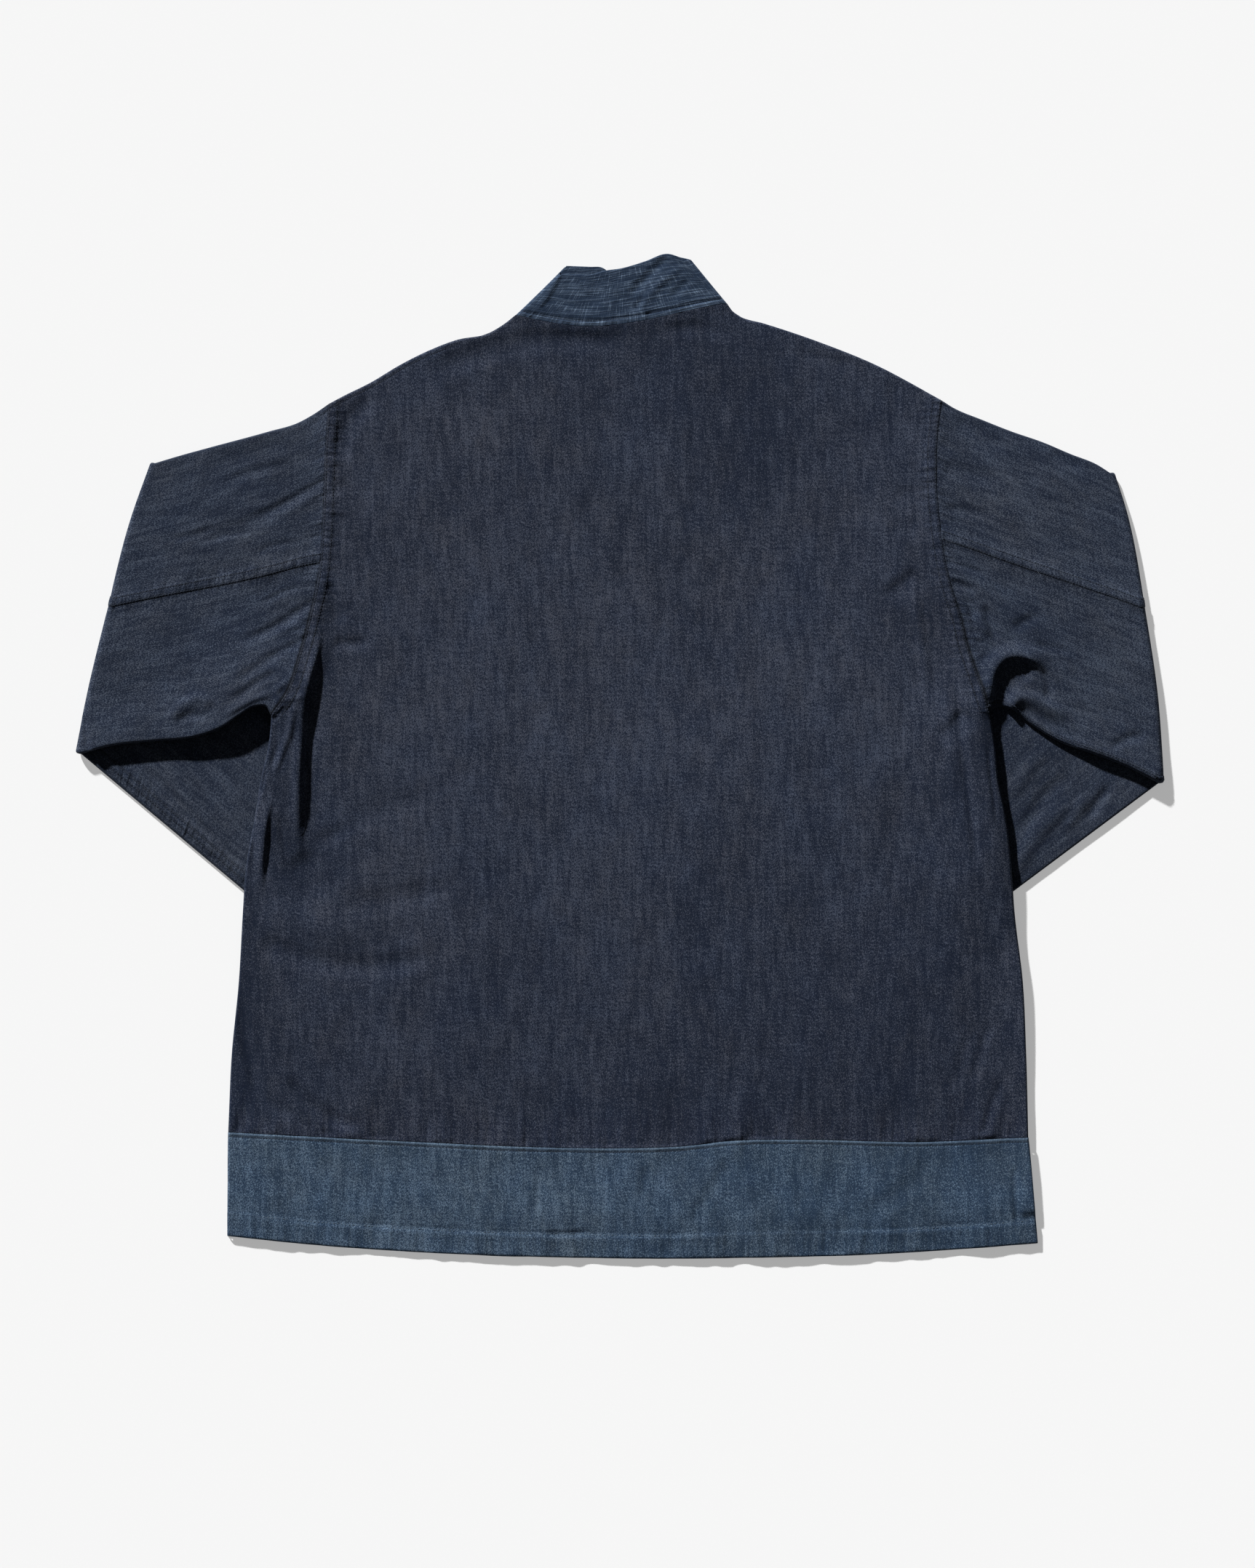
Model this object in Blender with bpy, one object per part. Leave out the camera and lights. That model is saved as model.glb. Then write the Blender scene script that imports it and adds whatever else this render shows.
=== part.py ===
"""Short jacket with a stand collar, laid flat on its front with its sleeves folded under.

Units are metres, +Z up. The back faces up, X runs to the wearer's right and Y from the hem
to the collar. The tables below are in millimetres and MM scales them.
"""

from collections import namedtuple
from math import pi

import bmesh
import bpy
import numpy as np

MM = 0.001

# Cloth walls and the spaces between them.
CLOTH = 1.2
COLLAR_CLOTH = 1.8
SEAM_GAP = 0.3
DEPTH = 3.4
EDGE_DEPTH = 2 * CLOTH + SEAM_GAP
EDGE_EASE = 12.0
EDGE_ROUND = 1.4
COLLAR_DEPTH = 5.0
HEM_STEP = 0.8

# A sleeve folded under lifts what lies on it, from a little way outside its edge.
FOREARM_LIFT = DEPTH + 0.6
LIFT_START = 24.0
LIFT_SLOPE = 26.0

# Middle of the outlines below, which is put over the origin.
MIDDLE = np.array([0.441, 0.240, 0.0])

# Body outline, x and y in plan. Sides run from the band up to the armpit.
LEFT_SIDE = [
    (-322.5, -309.3), (-319.5, -245.7), (-313.5, -185.7), (-309.9, -125.7), (-307.5, -91.5),
    (-300.3, -50.1), (-294.9, -17.7), (-288.5, 11.1), (-286.5, 33.9),
]
RIGHT_SIDE = [
    (336.9, -313.5), (335.1, -245.7), (332.1, -185.7), (324.9, -125.7), (321.9, -84.3),
    (317.1, -45.9), (311.7, -20.1), (309.3, 5.7), (304.5, 36.9),
]
LEFT_ARMHOLE = [
    (-239.7, 290.7), (-242.1, 249.9), (-243.9, 197.1), (-247.5, 149.7), (-255.9, 111.3),
    (-263.7, 82.5), (-273.3, 53.7), (-286.5, 33.9),
]
RIGHT_ARMHOLE = [
    (265.5, 293.7), (261.8, 257.1), (261.5, 220.5), (264.3, 187.5), (272.7, 141.3),
    (281.1, 115.0), (286.5, 92.1), (295.5, 64.5), (304.5, 36.9),
]
LEFT_SHOULDER = [
    (-239.7, 290.7), (-228.9, 296.7), (-204.9, 308.7), (-180.9, 323.1), (-156.9, 335.1),
    (-132.9, 344.1), (-108.9, 348.8), (-96.9, 355.6), (-85.5, 363.9),
]
RIGHT_SHOULDER = [
    (88.5, 373.6), (92.5, 368.0), (98.7, 363.3), (119.1, 357.3), (167.1, 341.1),
    (215.1, 321.3), (239.1, 308.7), (265.5, 293.7),
]
BACK_NECK = [
    (-85.5, 363.9), (-64.5, 359.1), (-42.9, 355.5), (-18.9, 354.3), (-5.7, 355.5),
    (19.5, 359.1), (41.7, 363.9), (63.3, 368.7), (88.5, 373.6),
]
BAND_SEAM = [
    (-322.5, -309.3), (-170.0, -317.0), (-57.9, -321.9), (0.0, -322.5), (51.9, -320.9),
    (90.0, -316.5), (137.1, -315.3), (251.7, -317.1), (336.9, -313.5),
]
HEM = [
    (-323.1, -395.1), (-240.0, -403.5), (-170.1, -408.3), (-60.0, -412.5), (29.1, -413.9),
    (137.1, -412.5), (200.0, -410.8), (274.5, -406.5), (344.7, -401.1),
]
LEFT_BAND_END = [(-323.1, -395.1), (-323.1, -365.7), (-322.5, -335.7), (-322.5, -309.3)]
RIGHT_BAND_END = [(344.7, -401.1), (342.0, -365.7), (339.6, -335.7), (336.9, -313.5)]
HEM_TURN = 19.5

# Collar, along its top edge. The back lies on the two fronts, which end at the centre.
COLLAR_TOP_BACK = [
    (-48.6, 397.7), (-36.0, 397.4), (-23.0, 397.5), (-12.7, 400.3), (2.7, 402.7),
    (21.0, 408.2), (39.8, 414.4), (52.0, 410.8),
]
COLLAR_TOP_LEFT = [(-45.5, 404.8), (-36.0, 404.5), (-24.0, 404.0), (-15.0, 403.6), (-5.0, 396.0)]
COLLAR_TOP_RIGHT = [(7.4, 396.0), (17.0, 403.0), (28.0, 405.0), (44.0, 408.5), (55.5, 410.3)]
COLLAR_TOP_FOLDS = [(-49.0, 399.0), (59.0, 409.5)]

# Sleeves. Edges run from the shoulder or the armpit to the fold, the fold from top to bottom.
Sleeve = namedtuple(
    "Sleeve", "name armhole top_edge lower_edge fold cuff back_seam underarm_seam"
)
LEFT_SLEEVE = Sleeve(
    name="sleeve_left",
    armhole=LEFT_ARMHOLE,
    top_edge=[
        (-239.7, 290.7), (-252.9, 281.7), (-264.9, 275.1), (-288.9, 267.9), (-336.9, 254.7),
        (-360.9, 248.1),
    ],
    lower_edge=[
        (-286.5, 33.9), (-300.0, 36.0), (-313.0, 34.5), (-326.7, 25.5), (-349.5, 15.9),
        (-380.1, 12.9), (-418.5, 8.7),
    ],
    fold=[(-386.1, 242.7), (-402.0, 198.0), (-423.5, 114.3), (-437.9, 54.3), (-447.9, 3.3)],
    cuff=[(-67.7, -86.1), (-183.9, -215.7)],
    back_seam=0.5,
    underarm_seam=2.055,
)
RIGHT_SLEEVE = Sleeve(
    name="sleeve_right",
    armhole=RIGHT_ARMHOLE,
    top_edge=[
        (265.5, 293.7), (275.1, 287.7), (299.1, 277.5), (323.1, 267.9), (347.1, 259.5),
        (371.1, 249.3), (393.0, 240.5),
    ],
    lower_edge=[
        (304.5, 36.9), (320.0, 37.5), (338.1, 23.1), (365.7, 8.7), (389.7, 2.1), (413.7, -7.5),
    ],
    fold=[(407.7, 234.3), (417.3, 204.3), (434.1, 114.3), (443.0, 54.3), (448.5, -21.3)],
    cuff=[(63.3, -89.1), (172.7, -224.4)],
    back_seam=0.44,
    underarm_seam=0.985,
)

# Largest folds: ridges on the upper layer, and the share of each that the layer below follows.
Ridge = namedtuple("Ridge", "x0 y0 x1 y1 half_width height below")
RIDGES = [
    Ridge(-276, 52, -345, 36, 44, 13.0, 0.45),
    Ridge(-258, 96, -268, -70, 17, 8.5, 0.0),
    Ridge(-295, 6, -295, -96, 12, 4.5, 0.0),
    Ridge(-268, 168, -330, 128, 26, 3.0, 0.0),
    Ridge(324, 40, 384, 18, 36, 12.0, 0.45),
    Ridge(302, 82, 348, 88, 17, 9.0, 0.0),
    Ridge(286, 40, 297, -90, 19, 5.5, 0.0),
    Ridge(316, 168, 372, 112, 30, 3.0, 0.0),
    Ridge(-120, 250, 40, 180, 90, 1.6, 0.0),
    Ridge(60, 60, 190, -60, 80, 1.6, 0.0),
    Ridge(-200, -180, 120, -240, 70, 1.2, 0.0),
]

# Grid of each piece: how many faces, and how much closer its rows and columns lie at an edge.
BODY_COLUMNS = 24
BODY_PULL = 0.45
CENTRE_COLUMN = BODY_COLUMNS // 2
NECK_COLUMNS = (8, 16)
ROWS_BELOW_ARMPIT = 13
ROWS_ABOVE_ARMPIT = 11
ARMPIT_SHARE = 0.57
UPPER_ARM_ROWS = 14
BEND_ROWS = 5
FOREARM_ROWS = 6
EDGE_COLUMNS = 4
COLLAR_ROWS = 3
COLLAR_TURN_COLUMNS = 4

DENIM = (0.030, 0.036, 0.055, 1.0)
DENIM_SLEEVE = (0.034, 0.041, 0.062, 1.0)
SLUB_INDIGO = (0.045, 0.066, 0.105, 1.0)
CHAMBRAY = (0.052, 0.085, 0.130, 1.0)
CLOTH_ROUGHNESS = 0.9
SHARP_ANGLE = 0.8


def clear_scene():
    """Remove whatever the opened file holds."""
    for obj in list(bpy.data.objects):
        bpy.data.objects.remove(obj, do_unlink=True)


def fabric(name, colour):
    """A matt cloth material."""
    material = bpy.data.materials.new(name)
    material.use_nodes = True
    shader = material.node_tree.nodes["Principled BSDF"]
    shader.inputs["Base Color"].default_value = colour
    shader.inputs["Roughness"].default_value = CLOTH_ROUGHNESS
    shader.inputs["Metallic"].default_value = 0.0
    return material


def smooth_step(value):
    """Ease from 0 to 1 while the value goes from 0 to 1."""
    held = np.clip(value, 0.0, 1.0)
    return held * held * (3.0 - 2.0 * held)


def curve(points, shares):
    """Points at these shares of the length of a smooth curve through the table's points."""
    knots = np.array(points, float)
    steps = np.linalg.norm(np.diff(knots, axis=0), axis=1)
    place = np.concatenate([[0.0], np.cumsum(steps)])
    slopes = np.gradient(knots, place, axis=0)
    wanted = np.clip(np.asarray(shares, float), 0.0, 1.0) * place[-1]
    first = np.clip(np.searchsorted(place, wanted, side="right") - 1, 0, len(steps) - 1)
    span = steps[first][:, None]
    along = ((wanted - place[first]) / steps[first])[:, None]
    squared = along ** 2
    cubed = along ** 3
    return (
        (2 * cubed - 3 * squared + 1) * knots[first]
        + (cubed - 2 * squared + along) * span * slopes[first]
        + (3 * squared - 2 * cubed) * knots[first + 1]
        + (cubed - squared) * span * slopes[first + 1]
    )


def point_at(points, share):
    """One point of a curve."""
    return curve(points, [share])[0]


def end_to_end(parts, stops, shares):
    """Points along several curves that follow each other, each filling its own columns."""
    found = []
    for points, first, last in zip(parts, stops[:-1], stops[1:]):
        own = (shares[first:last + 1] - shares[first]) / (shares[last] - shares[first])
        found.append(curve(points, own)[(1 if found else 0):])
    return np.vstack(found)


def patch(left, right, bottom, top, columns, rows):
    """Fill four boundary curves, given at the same columns and rows, with a smooth grid."""
    u = columns[None, :, None]
    v = rows[:, None, None]
    across = (1 - u) * left[:, None] + u * right[:, None]
    along = (1 - v) * bottom[None] + v * top[None]
    corners = (
        (1 - u) * (1 - v) * bottom[0]
        + u * (1 - v) * bottom[-1]
        + (1 - u) * v * top[0]
        + u * v * top[-1]
    )
    return across + along - corners


def closer_at_both_ends(count, pull):
    """Shares from 0 to 1 that lie closer together near 0 and near 1."""
    even = np.linspace(0.0, 1.0, count + 1)
    return even - pull * np.sin(2 * pi * even) / (2 * pi)


def body_rows():
    """Shares up a body panel, closer together at the armpit."""
    below = 1.0 - (1.0 - np.linspace(0.0, 1.0, ROWS_BELOW_ARMPIT + 1)) ** 1.4
    above = np.linspace(0.0, 1.0, ROWS_ABOVE_ARMPIT + 1) ** 1.25
    upper = ARMPIT_SHARE + (1.0 - ARMPIT_SHARE) * above[1:]
    return np.concatenate([ARMPIT_SHARE * below, upper])


def body_side(side, armhole, rows):
    """A side from the band seam to the armpit and on up the armhole to the shoulder."""
    stops = (0, ROWS_BELOW_ARMPIT, ROWS_BELOW_ARMPIT + ROWS_ABOVE_ARMPIT)
    return end_to_end([side, armhole[::-1]], stops, rows)


def forearm_corners(sleeve):
    """The four corners in plan of a sleeve's part beyond its fold, in order."""
    return [sleeve.fold[0], sleeve.fold[-1], sleeve.cuff[1], sleeve.cuff[0]]


def outside_forearm(plan, sleeve):
    """How far plan points lie outside a folded forearm. Its fold edge is left out."""
    corners = [np.array(corner, float) for corner in forearm_corners(sleeve)]
    middle = sum(corners) / len(corners)
    reach = np.full(plan.shape[:-1], -np.inf)
    for start, end in zip(corners[1:], corners[2:] + corners[:1]):
        way = (end - start) / np.linalg.norm(end - start)
        outward = np.array([way[1], -way[0]])
        if np.dot(middle - start, outward) > 0:
            outward = -outward
        reach = np.maximum(reach, (plan - start) @ outward)
    return reach


def lift(plan):
    """Height of the lower layer's outside over the surface: raised where a forearm is below."""
    height = np.zeros(plan.shape[:-1])
    for sleeve in (LEFT_SLEEVE, RIGHT_SLEEVE):
        falling = smooth_step((outside_forearm(plan, sleeve) - LIFT_START) / LIFT_SLOPE)
        height = np.maximum(height, FOREARM_LIFT * (1.0 - falling))
    return height


def ridge_shape(plan, ridge):
    """From 1 on the ridge's line to 0 at its half width."""
    start = np.array([ridge.x0, ridge.y0], float)
    way = np.array([ridge.x1, ridge.y1], float) - start
    share = np.clip((plan - start) @ way / np.dot(way, way), 0.0, 1.0)
    nearest = start + share[..., None] * way
    away = np.linalg.norm(plan - nearest, axis=-1) / ridge.half_width
    return np.where(away < 1.0, (1.0 - np.minimum(away, 1.0) ** 2) ** 2, 0.0)


def low_height(plan):
    """Outside of the lower layer: fronts and the front of the sleeves."""
    height = lift(plan)
    for ridge in RIDGES:
        height = height + ridge.height * ridge.below * ridge_shape(plan, ridge)
    return height


def folds(plan):
    """What the ridges add between the two layers."""
    height = np.zeros(plan.shape[:-1])
    for ridge in RIDGES:
        height = height + ridge.height * (1.0 - ridge.below) * ridge_shape(plan, ridge)
    return height


def from_line(plan, points):
    """Distance in plan to a run of straight pieces."""
    nearest = np.full(plan.shape[:-1], np.inf)
    for start, end in zip(points[:-1], points[1:]):
        begin = np.array(start, float)
        way = np.array(end, float) - begin
        share = np.clip((plan - begin) @ way / np.dot(way, way), 0.0, 1.0)
        gap = np.linalg.norm(plan - begin - share[..., None] * way, axis=-1)
        nearest = np.minimum(nearest, gap)
    return nearest


def back_height(plan):
    """Outside of the back: it comes down onto the fronts at the sides and the shoulders."""
    free = [LEFT_SIDE, RIGHT_SIDE, LEFT_SHOULDER, RIGHT_SHOULDER, LEFT_BAND_END, RIGHT_BAND_END]
    away = np.min([from_line(plan, line) for line in free], axis=0)
    eased = smooth_step(away / EDGE_EASE)
    return low_height(plan) + EDGE_DEPTH + (DEPTH - EDGE_DEPTH) * eased + folds(plan)


def with_height(plan, height):
    """Plan points with their heights, as x, y and z."""
    return np.concatenate([plan, height[..., None]], axis=-1)


def cloth(name, outer, inner, material, collection):
    """A wall between an outer and an inner grid of points, its outer face pointing out."""
    rows, columns = outer.shape[:2]
    grid = bmesh.new()
    bmesh.ops.create_grid(grid, x_segments=columns - 1, y_segments=rows - 1, size=0.5)
    raised = bmesh.ops.extrude_face_region(grid, geom=grid.faces[:], use_keep_orig=True)
    outside = {item for item in raised["geom"] if isinstance(item, bmesh.types.BMVert)}
    for vertex in grid.verts:
        column = round((vertex.co.x + 0.5) * (columns - 1))
        row = round((vertex.co.y + 0.5) * (rows - 1))
        side = outer if vertex in outside else inner
        vertex.co = (side[row, column] - MIDDLE) * MM
    bmesh.ops.recalc_face_normals(grid, faces=grid.faces)
    mesh = bpy.data.meshes.new(name)
    grid.to_mesh(mesh)
    grid.free()
    mesh.shade_smooth()
    mesh.set_sharp_from_angle(angle=SHARP_ANGLE)
    mesh.materials.append(material)
    collection.objects.link(bpy.data.objects.new(name, mesh))


def panel(name, plan, height, wall, material, collection):
    """A panel of the body: its outer face at a height over the plan, its wall above or below."""
    cloth(name, with_height(plan, height), with_height(plan, height + wall), material, collection)


def body_plan():
    """The plan grid that the back and both fronts share."""
    columns = closer_at_both_ends(BODY_COLUMNS, BODY_PULL)
    rows = body_rows()
    stops = (0, *NECK_COLUMNS, BODY_COLUMNS)
    top = end_to_end([LEFT_SHOULDER, BACK_NECK, RIGHT_SHOULDER], stops, columns)
    left = body_side(LEFT_SIDE, LEFT_ARMHOLE, rows)
    right = body_side(RIGHT_SIDE, RIGHT_ARMHOLE, rows)
    return patch(left, right, curve(BAND_SEAM, columns), top, columns, rows)


def band_plan():
    """The plan grid that the bands share: hem, both sides of its stitched turn, and the seam."""
    columns = closer_at_both_ends(BODY_COLUMNS, BODY_PULL)
    seam = curve(BAND_SEAM, columns)
    hem = curve(HEM, columns)
    height = np.linalg.norm(hem - seam, axis=1)[:, None]
    down = (hem - seam) / height
    turn = height - HEM_TURN
    return np.stack([hem, seam + down * turn, seam + down * (turn - 1.0), seam + down * SEAM_GAP])


def halves(plan):
    """The left and the right part of a plan grid, a seam gap apart at the centre front."""
    left = plan[:, :CENTRE_COLUMN + 1].copy()
    right = plan[:, CENTRE_COLUMN:].copy()
    left[:, -1, 0] -= SEAM_GAP / 2
    right[:, 0, 0] += SEAM_GAP / 2
    return left, right


def body(denim, chambray, collection):
    """The back, the fronts and their bands."""
    plan = body_plan()
    panel("back", plan, back_height(plan), -CLOTH, denim, collection)
    for name, half in zip(("front_left", "front_right"), halves(plan)):
        panel(name, half, low_height(half), CLOTH, denim, collection)
    plan = band_plan()
    step = np.array([HEM_STEP, HEM_STEP, 0.0, 0.0])[:, None]
    panel("hem_band_back", plan, back_height(plan) + step, -CLOTH, chambray, collection)
    for name, half in zip(("hem_band_front_left", "hem_band_front_right"), halves(plan)):
        panel(name, half, low_height(half), CLOTH, chambray, collection)


def round_fold(lower, upper, apex, wall):
    """Round one side of the collar from its lower wall, past its outermost point, to its upper."""
    turns = np.linspace(0.0, pi, COLLAR_TURN_COLUMNS + 1)[1:-1, None]
    swing = np.array(apex, float) - (lower + upper) / 2
    swing *= 1.0 - wall / np.linalg.norm(swing)
    points = lower + (upper - lower) * (1.0 - np.cos(turns)) / 2 + swing * np.sin(turns)
    return points, turns[:, 0]


def collar_points(wall):
    """Rows up the collar, a flattened ring open at the centre front, this far inside its face."""
    half = COLLAR_DEPTH / 2
    columns = closer_at_both_ends(BODY_COLUMNS, BODY_PULL)[NECK_COLUMNS[0]:NECK_COLUMNS[1] + 1]
    shares = (columns - columns[0]) / (columns[-1] - columns[0])
    inset = half * EDGE_ROUND / (BACK_NECK[-1][0] - BACK_NECK[0][0])
    shares = np.clip(shares, inset, 1.0 - inset)
    middle = CENTRE_COLUMN - NECK_COLUMNS[0]
    neck = curve(BACK_NECK, shares)
    top_back = curve(COLLAR_TOP_BACK, shares)
    top_left = curve(COLLAR_TOP_LEFT, shares[:middle + 1] / shares[middle])
    top_right = curve(COLLAR_TOP_RIGHT, (shares[middle:] - shares[middle]) / shares[middle])
    rings = []
    for lower_left, upper, lower_right, ends in (
        (neck[:middle + 1], neck, neck[middle:], (BACK_NECK[0], BACK_NECK[-1])),
        (top_left, top_back, top_right, COLLAR_TOP_FOLDS),
    ):
        left_turn, turns = round_fold(lower_left[0], upper[0], ends[0], wall)
        right_turn, _ = round_fold(lower_right[-1], upper[-1], ends[1], wall)
        rings.append(np.vstack([
            lower_left[::-1], left_turn, upper, right_turn[::-1], lower_right[::-1],
        ]))
    base, top = rings
    for ring in rings:
        ring[0, 0] -= SEAM_GAP / 2
        ring[-1, 0] += SEAM_GAP / 2
    base[:, 1] += SEAM_GAP
    low = np.full(middle + 1, 0.0)
    high = np.full(len(shares), pi)
    turned = np.concatenate([low, turns, high, turns[::-1], low])
    rows = np.linspace(0.0, 1.0, COLLAR_ROWS + 1)
    plan = base[None] + (top - base)[None] * rows[:, None, None]
    height = np.broadcast_to(half - (half - wall) * np.cos(turned), plan.shape[:-1])
    return with_height(plan, height)


def armhole_shares():
    """Shares down an armhole, from the shoulder, at the rows of the body panels."""
    rows = body_rows()[ROWS_BELOW_ARMPIT:]
    return ((rows - rows[0]) / (rows[-1] - rows[0]) * -1.0 + 1.0)[::-1]


def ring_columns(start, end, first_edge, last_edge):
    """Steps round a flattened sleeve. 0 to 1 is the back from the top edge down, 1 to 2 the
    lower edge, 2 to 3 the front from the lower edge up, and 3 to 4 the top edge. The flat
    steps meet the rows of the body panels at the armhole."""
    flat = (armhole_shares() - first_edge) / (1.0 - first_edge - last_edge)
    flat = flat[(flat > 0.0) & (flat < 1.0)]
    edge = np.linspace(0.0, 1.0, EDGE_COLUMNS + 1)
    once = np.concatenate([flat, 1.0 + edge, 3.0 - flat[::-1], 3.0 + edge])
    steps = np.concatenate([once, once + 4.0])
    inside = steps[(steps > start) & (steps < end)]
    return np.concatenate([[start], inside, [end]])


def ring_place(round_at, first_edge, last_edge):
    """Share across the sleeve, from its top edge, and rise from -1 to 1 at each step."""
    zone = np.floor(round_at % 4.0)
    part = round_at % 1.0
    angle = (0.5 - part) * pi
    flat = 1.0 - first_edge - last_edge
    share = np.select(
        [zone == 0, zone == 1, zone == 2],
        [
            first_edge + part * flat,
            1.0 - last_edge * (1.0 - np.cos(angle)),
            first_edge + (1.0 - part) * flat,
        ],
        first_edge * (1.0 - np.cos(angle)),
    )
    rise = np.select([zone == 0, zone == 1, zone == 2], [1.0, np.sin(angle), -1.0], -np.sin(angle))
    return share, rise


def fold_axis(sleeve):
    """The line that a sleeve is bent round, in plan, and the way out from it."""
    chord = np.array(sleeve.fold[-1], float) - np.array(sleeve.fold[0], float)
    outward = np.array([chord[1], -chord[0]]) / np.linalg.norm(chord)
    if np.dot(outward, sleeve.fold[0]) < 0:
        outward = -outward
    inset = FOREARM_LIFT / 2 + DEPTH / 2
    return [tuple(np.array(point) - outward * inset) for point in sleeve.fold], outward


def edge_shares(top_end, lower_end):
    """How much of a section each rounded edge takes."""
    ends = np.array([top_end, lower_end])
    width = np.linalg.norm(ends[1] - ends[0])
    return (DEPTH + folds(ends)) / 2 * EDGE_ROUND / width


def inset_share(share, rise, wall):
    """Draw the shares on a rounded edge in by the wall, and leave those on the flat."""
    return share + wall * (1.0 - np.abs(rise)) * np.where(share < 0.5, 1.0, -1.0)


def armhole_points(sleeve, shares):
    """Points of the armhole on the same straight steps as the body panels' edge."""
    stops = armhole_shares()
    knots = curve(sleeve.armhole, stops)
    return np.stack([np.interp(shares, stops, knots[:, axis]) for axis in (0, 1)], axis=1)


def sleeve_points(sleeve, round_at, wall):
    """Rows of a sleeve from the armhole, over its fold at the elbow, to its hem, at this depth
    inside its outer face."""
    half = DEPTH / 2
    bend = FOREARM_LIFT / 2
    axis, outward = fold_axis(sleeve)
    top_edge = sleeve.top_edge + [axis[0]]
    lower_edge = sleeve.lower_edge + [axis[-1]]
    start = SEAM_GAP / np.linalg.norm(point_at(axis, 0.5) - point_at(sleeve.armhole, 0.5))
    rows = []
    for along in start + (1.0 - start) * np.linspace(0.0, 1.0, UPPER_ARM_ROWS + 1) ** 1.15:
        top_end = point_at(top_edge, along)
        lower_end = point_at(lower_edge, along)
        share, rise = ring_place(round_at, *edge_shares(top_end, lower_end))
        share = inset_share(share, rise, wall / np.linalg.norm(lower_end - top_end))
        down = share[:, None]
        across = (1.0 - down) * top_end + down * lower_end
        lengthwise = (1.0 - along) * armhole_points(sleeve, share) + along * curve(axis, share)
        top_corner = (1.0 - along) * np.array(top_edge[0]) + along * np.array(axis[0])
        low_corner = (1.0 - along) * np.array(lower_edge[0]) + along * np.array(axis[-1])
        plan = across + lengthwise - (1.0 - down) * top_corner - down * low_corner
        middle = (DEPTH + folds(plan)) / 2
        rows.append(with_height(plan, low_height(plan) + middle + rise * (middle - wall)))

    share, rise = ring_place(round_at, *edge_shares(axis[0], axis[-1]))
    width = np.linalg.norm(np.subtract(axis[0], axis[-1]))
    share = inset_share(share, rise, wall / width)
    spine = curve(axis, share)
    for angle in np.linspace(0.0, pi, BEND_ROWS + 1)[1:]:
        reach = bend + rise * (half - wall)
        plan = spine + (reach * np.sin(angle))[:, None] * outward
        rows.append(with_height(plan, bend + half + reach * np.cos(angle)))

    cuff = np.array(sleeve.cuff, float)
    hem_line = cuff[0] + share[:, None] * (cuff[1] - cuff[0])
    for along in np.linspace(0.0, 1.0, FOREARM_ROWS + 1)[1:]:
        plan = spine + along * (hem_line - spine)
        rows.append(with_height(plan, half - rise * (half - wall)))
    return np.stack(rows)


def sleeve_pieces(sleeve, material, collection):
    """The top sleeve and the under sleeve, split at the back seam and the underarm seam."""
    trim = SEAM_GAP / 2 / np.linalg.norm(np.subtract(sleeve.fold[-1], sleeve.fold[0]))
    edges = edge_shares(sleeve.armhole[0], sleeve.armhole[-1])
    pieces = (
        ("_under", sleeve.back_seam + trim, sleeve.underarm_seam - trim),
        ("_upper", sleeve.underarm_seam + trim, 4.0 + sleeve.back_seam - trim),
    )
    for ending, start, end in pieces:
        round_at = ring_columns(start, end, *edges)
        outer = sleeve_points(sleeve, round_at, 0.0)
        inner = sleeve_points(sleeve, round_at, CLOTH)
        cloth(sleeve.name + ending, outer, inner, material, collection)


def main():
    """Make every piece of the jacket."""
    clear_scene()
    collection = bpy.data.collections.new("chinese_jacket")
    bpy.context.scene.collection.children.link(collection)
    denim = fabric("denim", DENIM)
    sleeve_denim = fabric("sleeve_denim", DENIM_SLEEVE)
    slub_indigo = fabric("slub_indigo", SLUB_INDIGO)
    chambray = fabric("chambray", CHAMBRAY)
    body(denim, chambray, collection)
    collar = (collar_points(0.0), collar_points(COLLAR_CLOTH))
    cloth("collar", *collar, slub_indigo, collection)
    sleeve_pieces(LEFT_SLEEVE, sleeve_denim, collection)
    sleeve_pieces(RIGHT_SLEEVE, sleeve_denim, collection)


main()
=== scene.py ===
# %% [markdown]
# # A short jacket with a stand collar, laid on its front
#
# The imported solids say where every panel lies. Here each panel becomes a thin sheet of cloth
# on the same outline, with its folds, felled seams, stitches, weave and dye. The cells below
# follow a maker's order: camera and light, the shape of the lay, the panels, the sewing, and
# then the cloths.

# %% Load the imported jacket
from collections import namedtuple
from math import ceil, pi, radians

import bpy
import numpy as np
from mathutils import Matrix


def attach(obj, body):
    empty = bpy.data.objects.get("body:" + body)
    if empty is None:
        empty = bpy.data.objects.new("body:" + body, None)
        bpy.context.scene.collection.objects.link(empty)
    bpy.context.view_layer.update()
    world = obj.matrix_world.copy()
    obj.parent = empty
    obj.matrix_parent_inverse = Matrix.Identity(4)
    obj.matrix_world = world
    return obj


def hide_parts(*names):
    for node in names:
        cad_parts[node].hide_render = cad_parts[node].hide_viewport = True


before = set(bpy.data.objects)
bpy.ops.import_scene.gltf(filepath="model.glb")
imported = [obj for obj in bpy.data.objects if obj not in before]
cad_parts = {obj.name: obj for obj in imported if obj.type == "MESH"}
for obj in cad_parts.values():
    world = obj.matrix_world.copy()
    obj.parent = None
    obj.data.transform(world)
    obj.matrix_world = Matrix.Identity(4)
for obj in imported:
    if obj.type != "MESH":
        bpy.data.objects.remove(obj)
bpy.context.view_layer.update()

# %% [markdown]
# ## Camera
#
# The picture is taken from straight above, so the camera looks down and the top of the picture
# is +Y. A long lens from three metres keeps the perspective weak, as a copy stand does. The
# picture's height in millimetres of table sets the lens.

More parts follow.
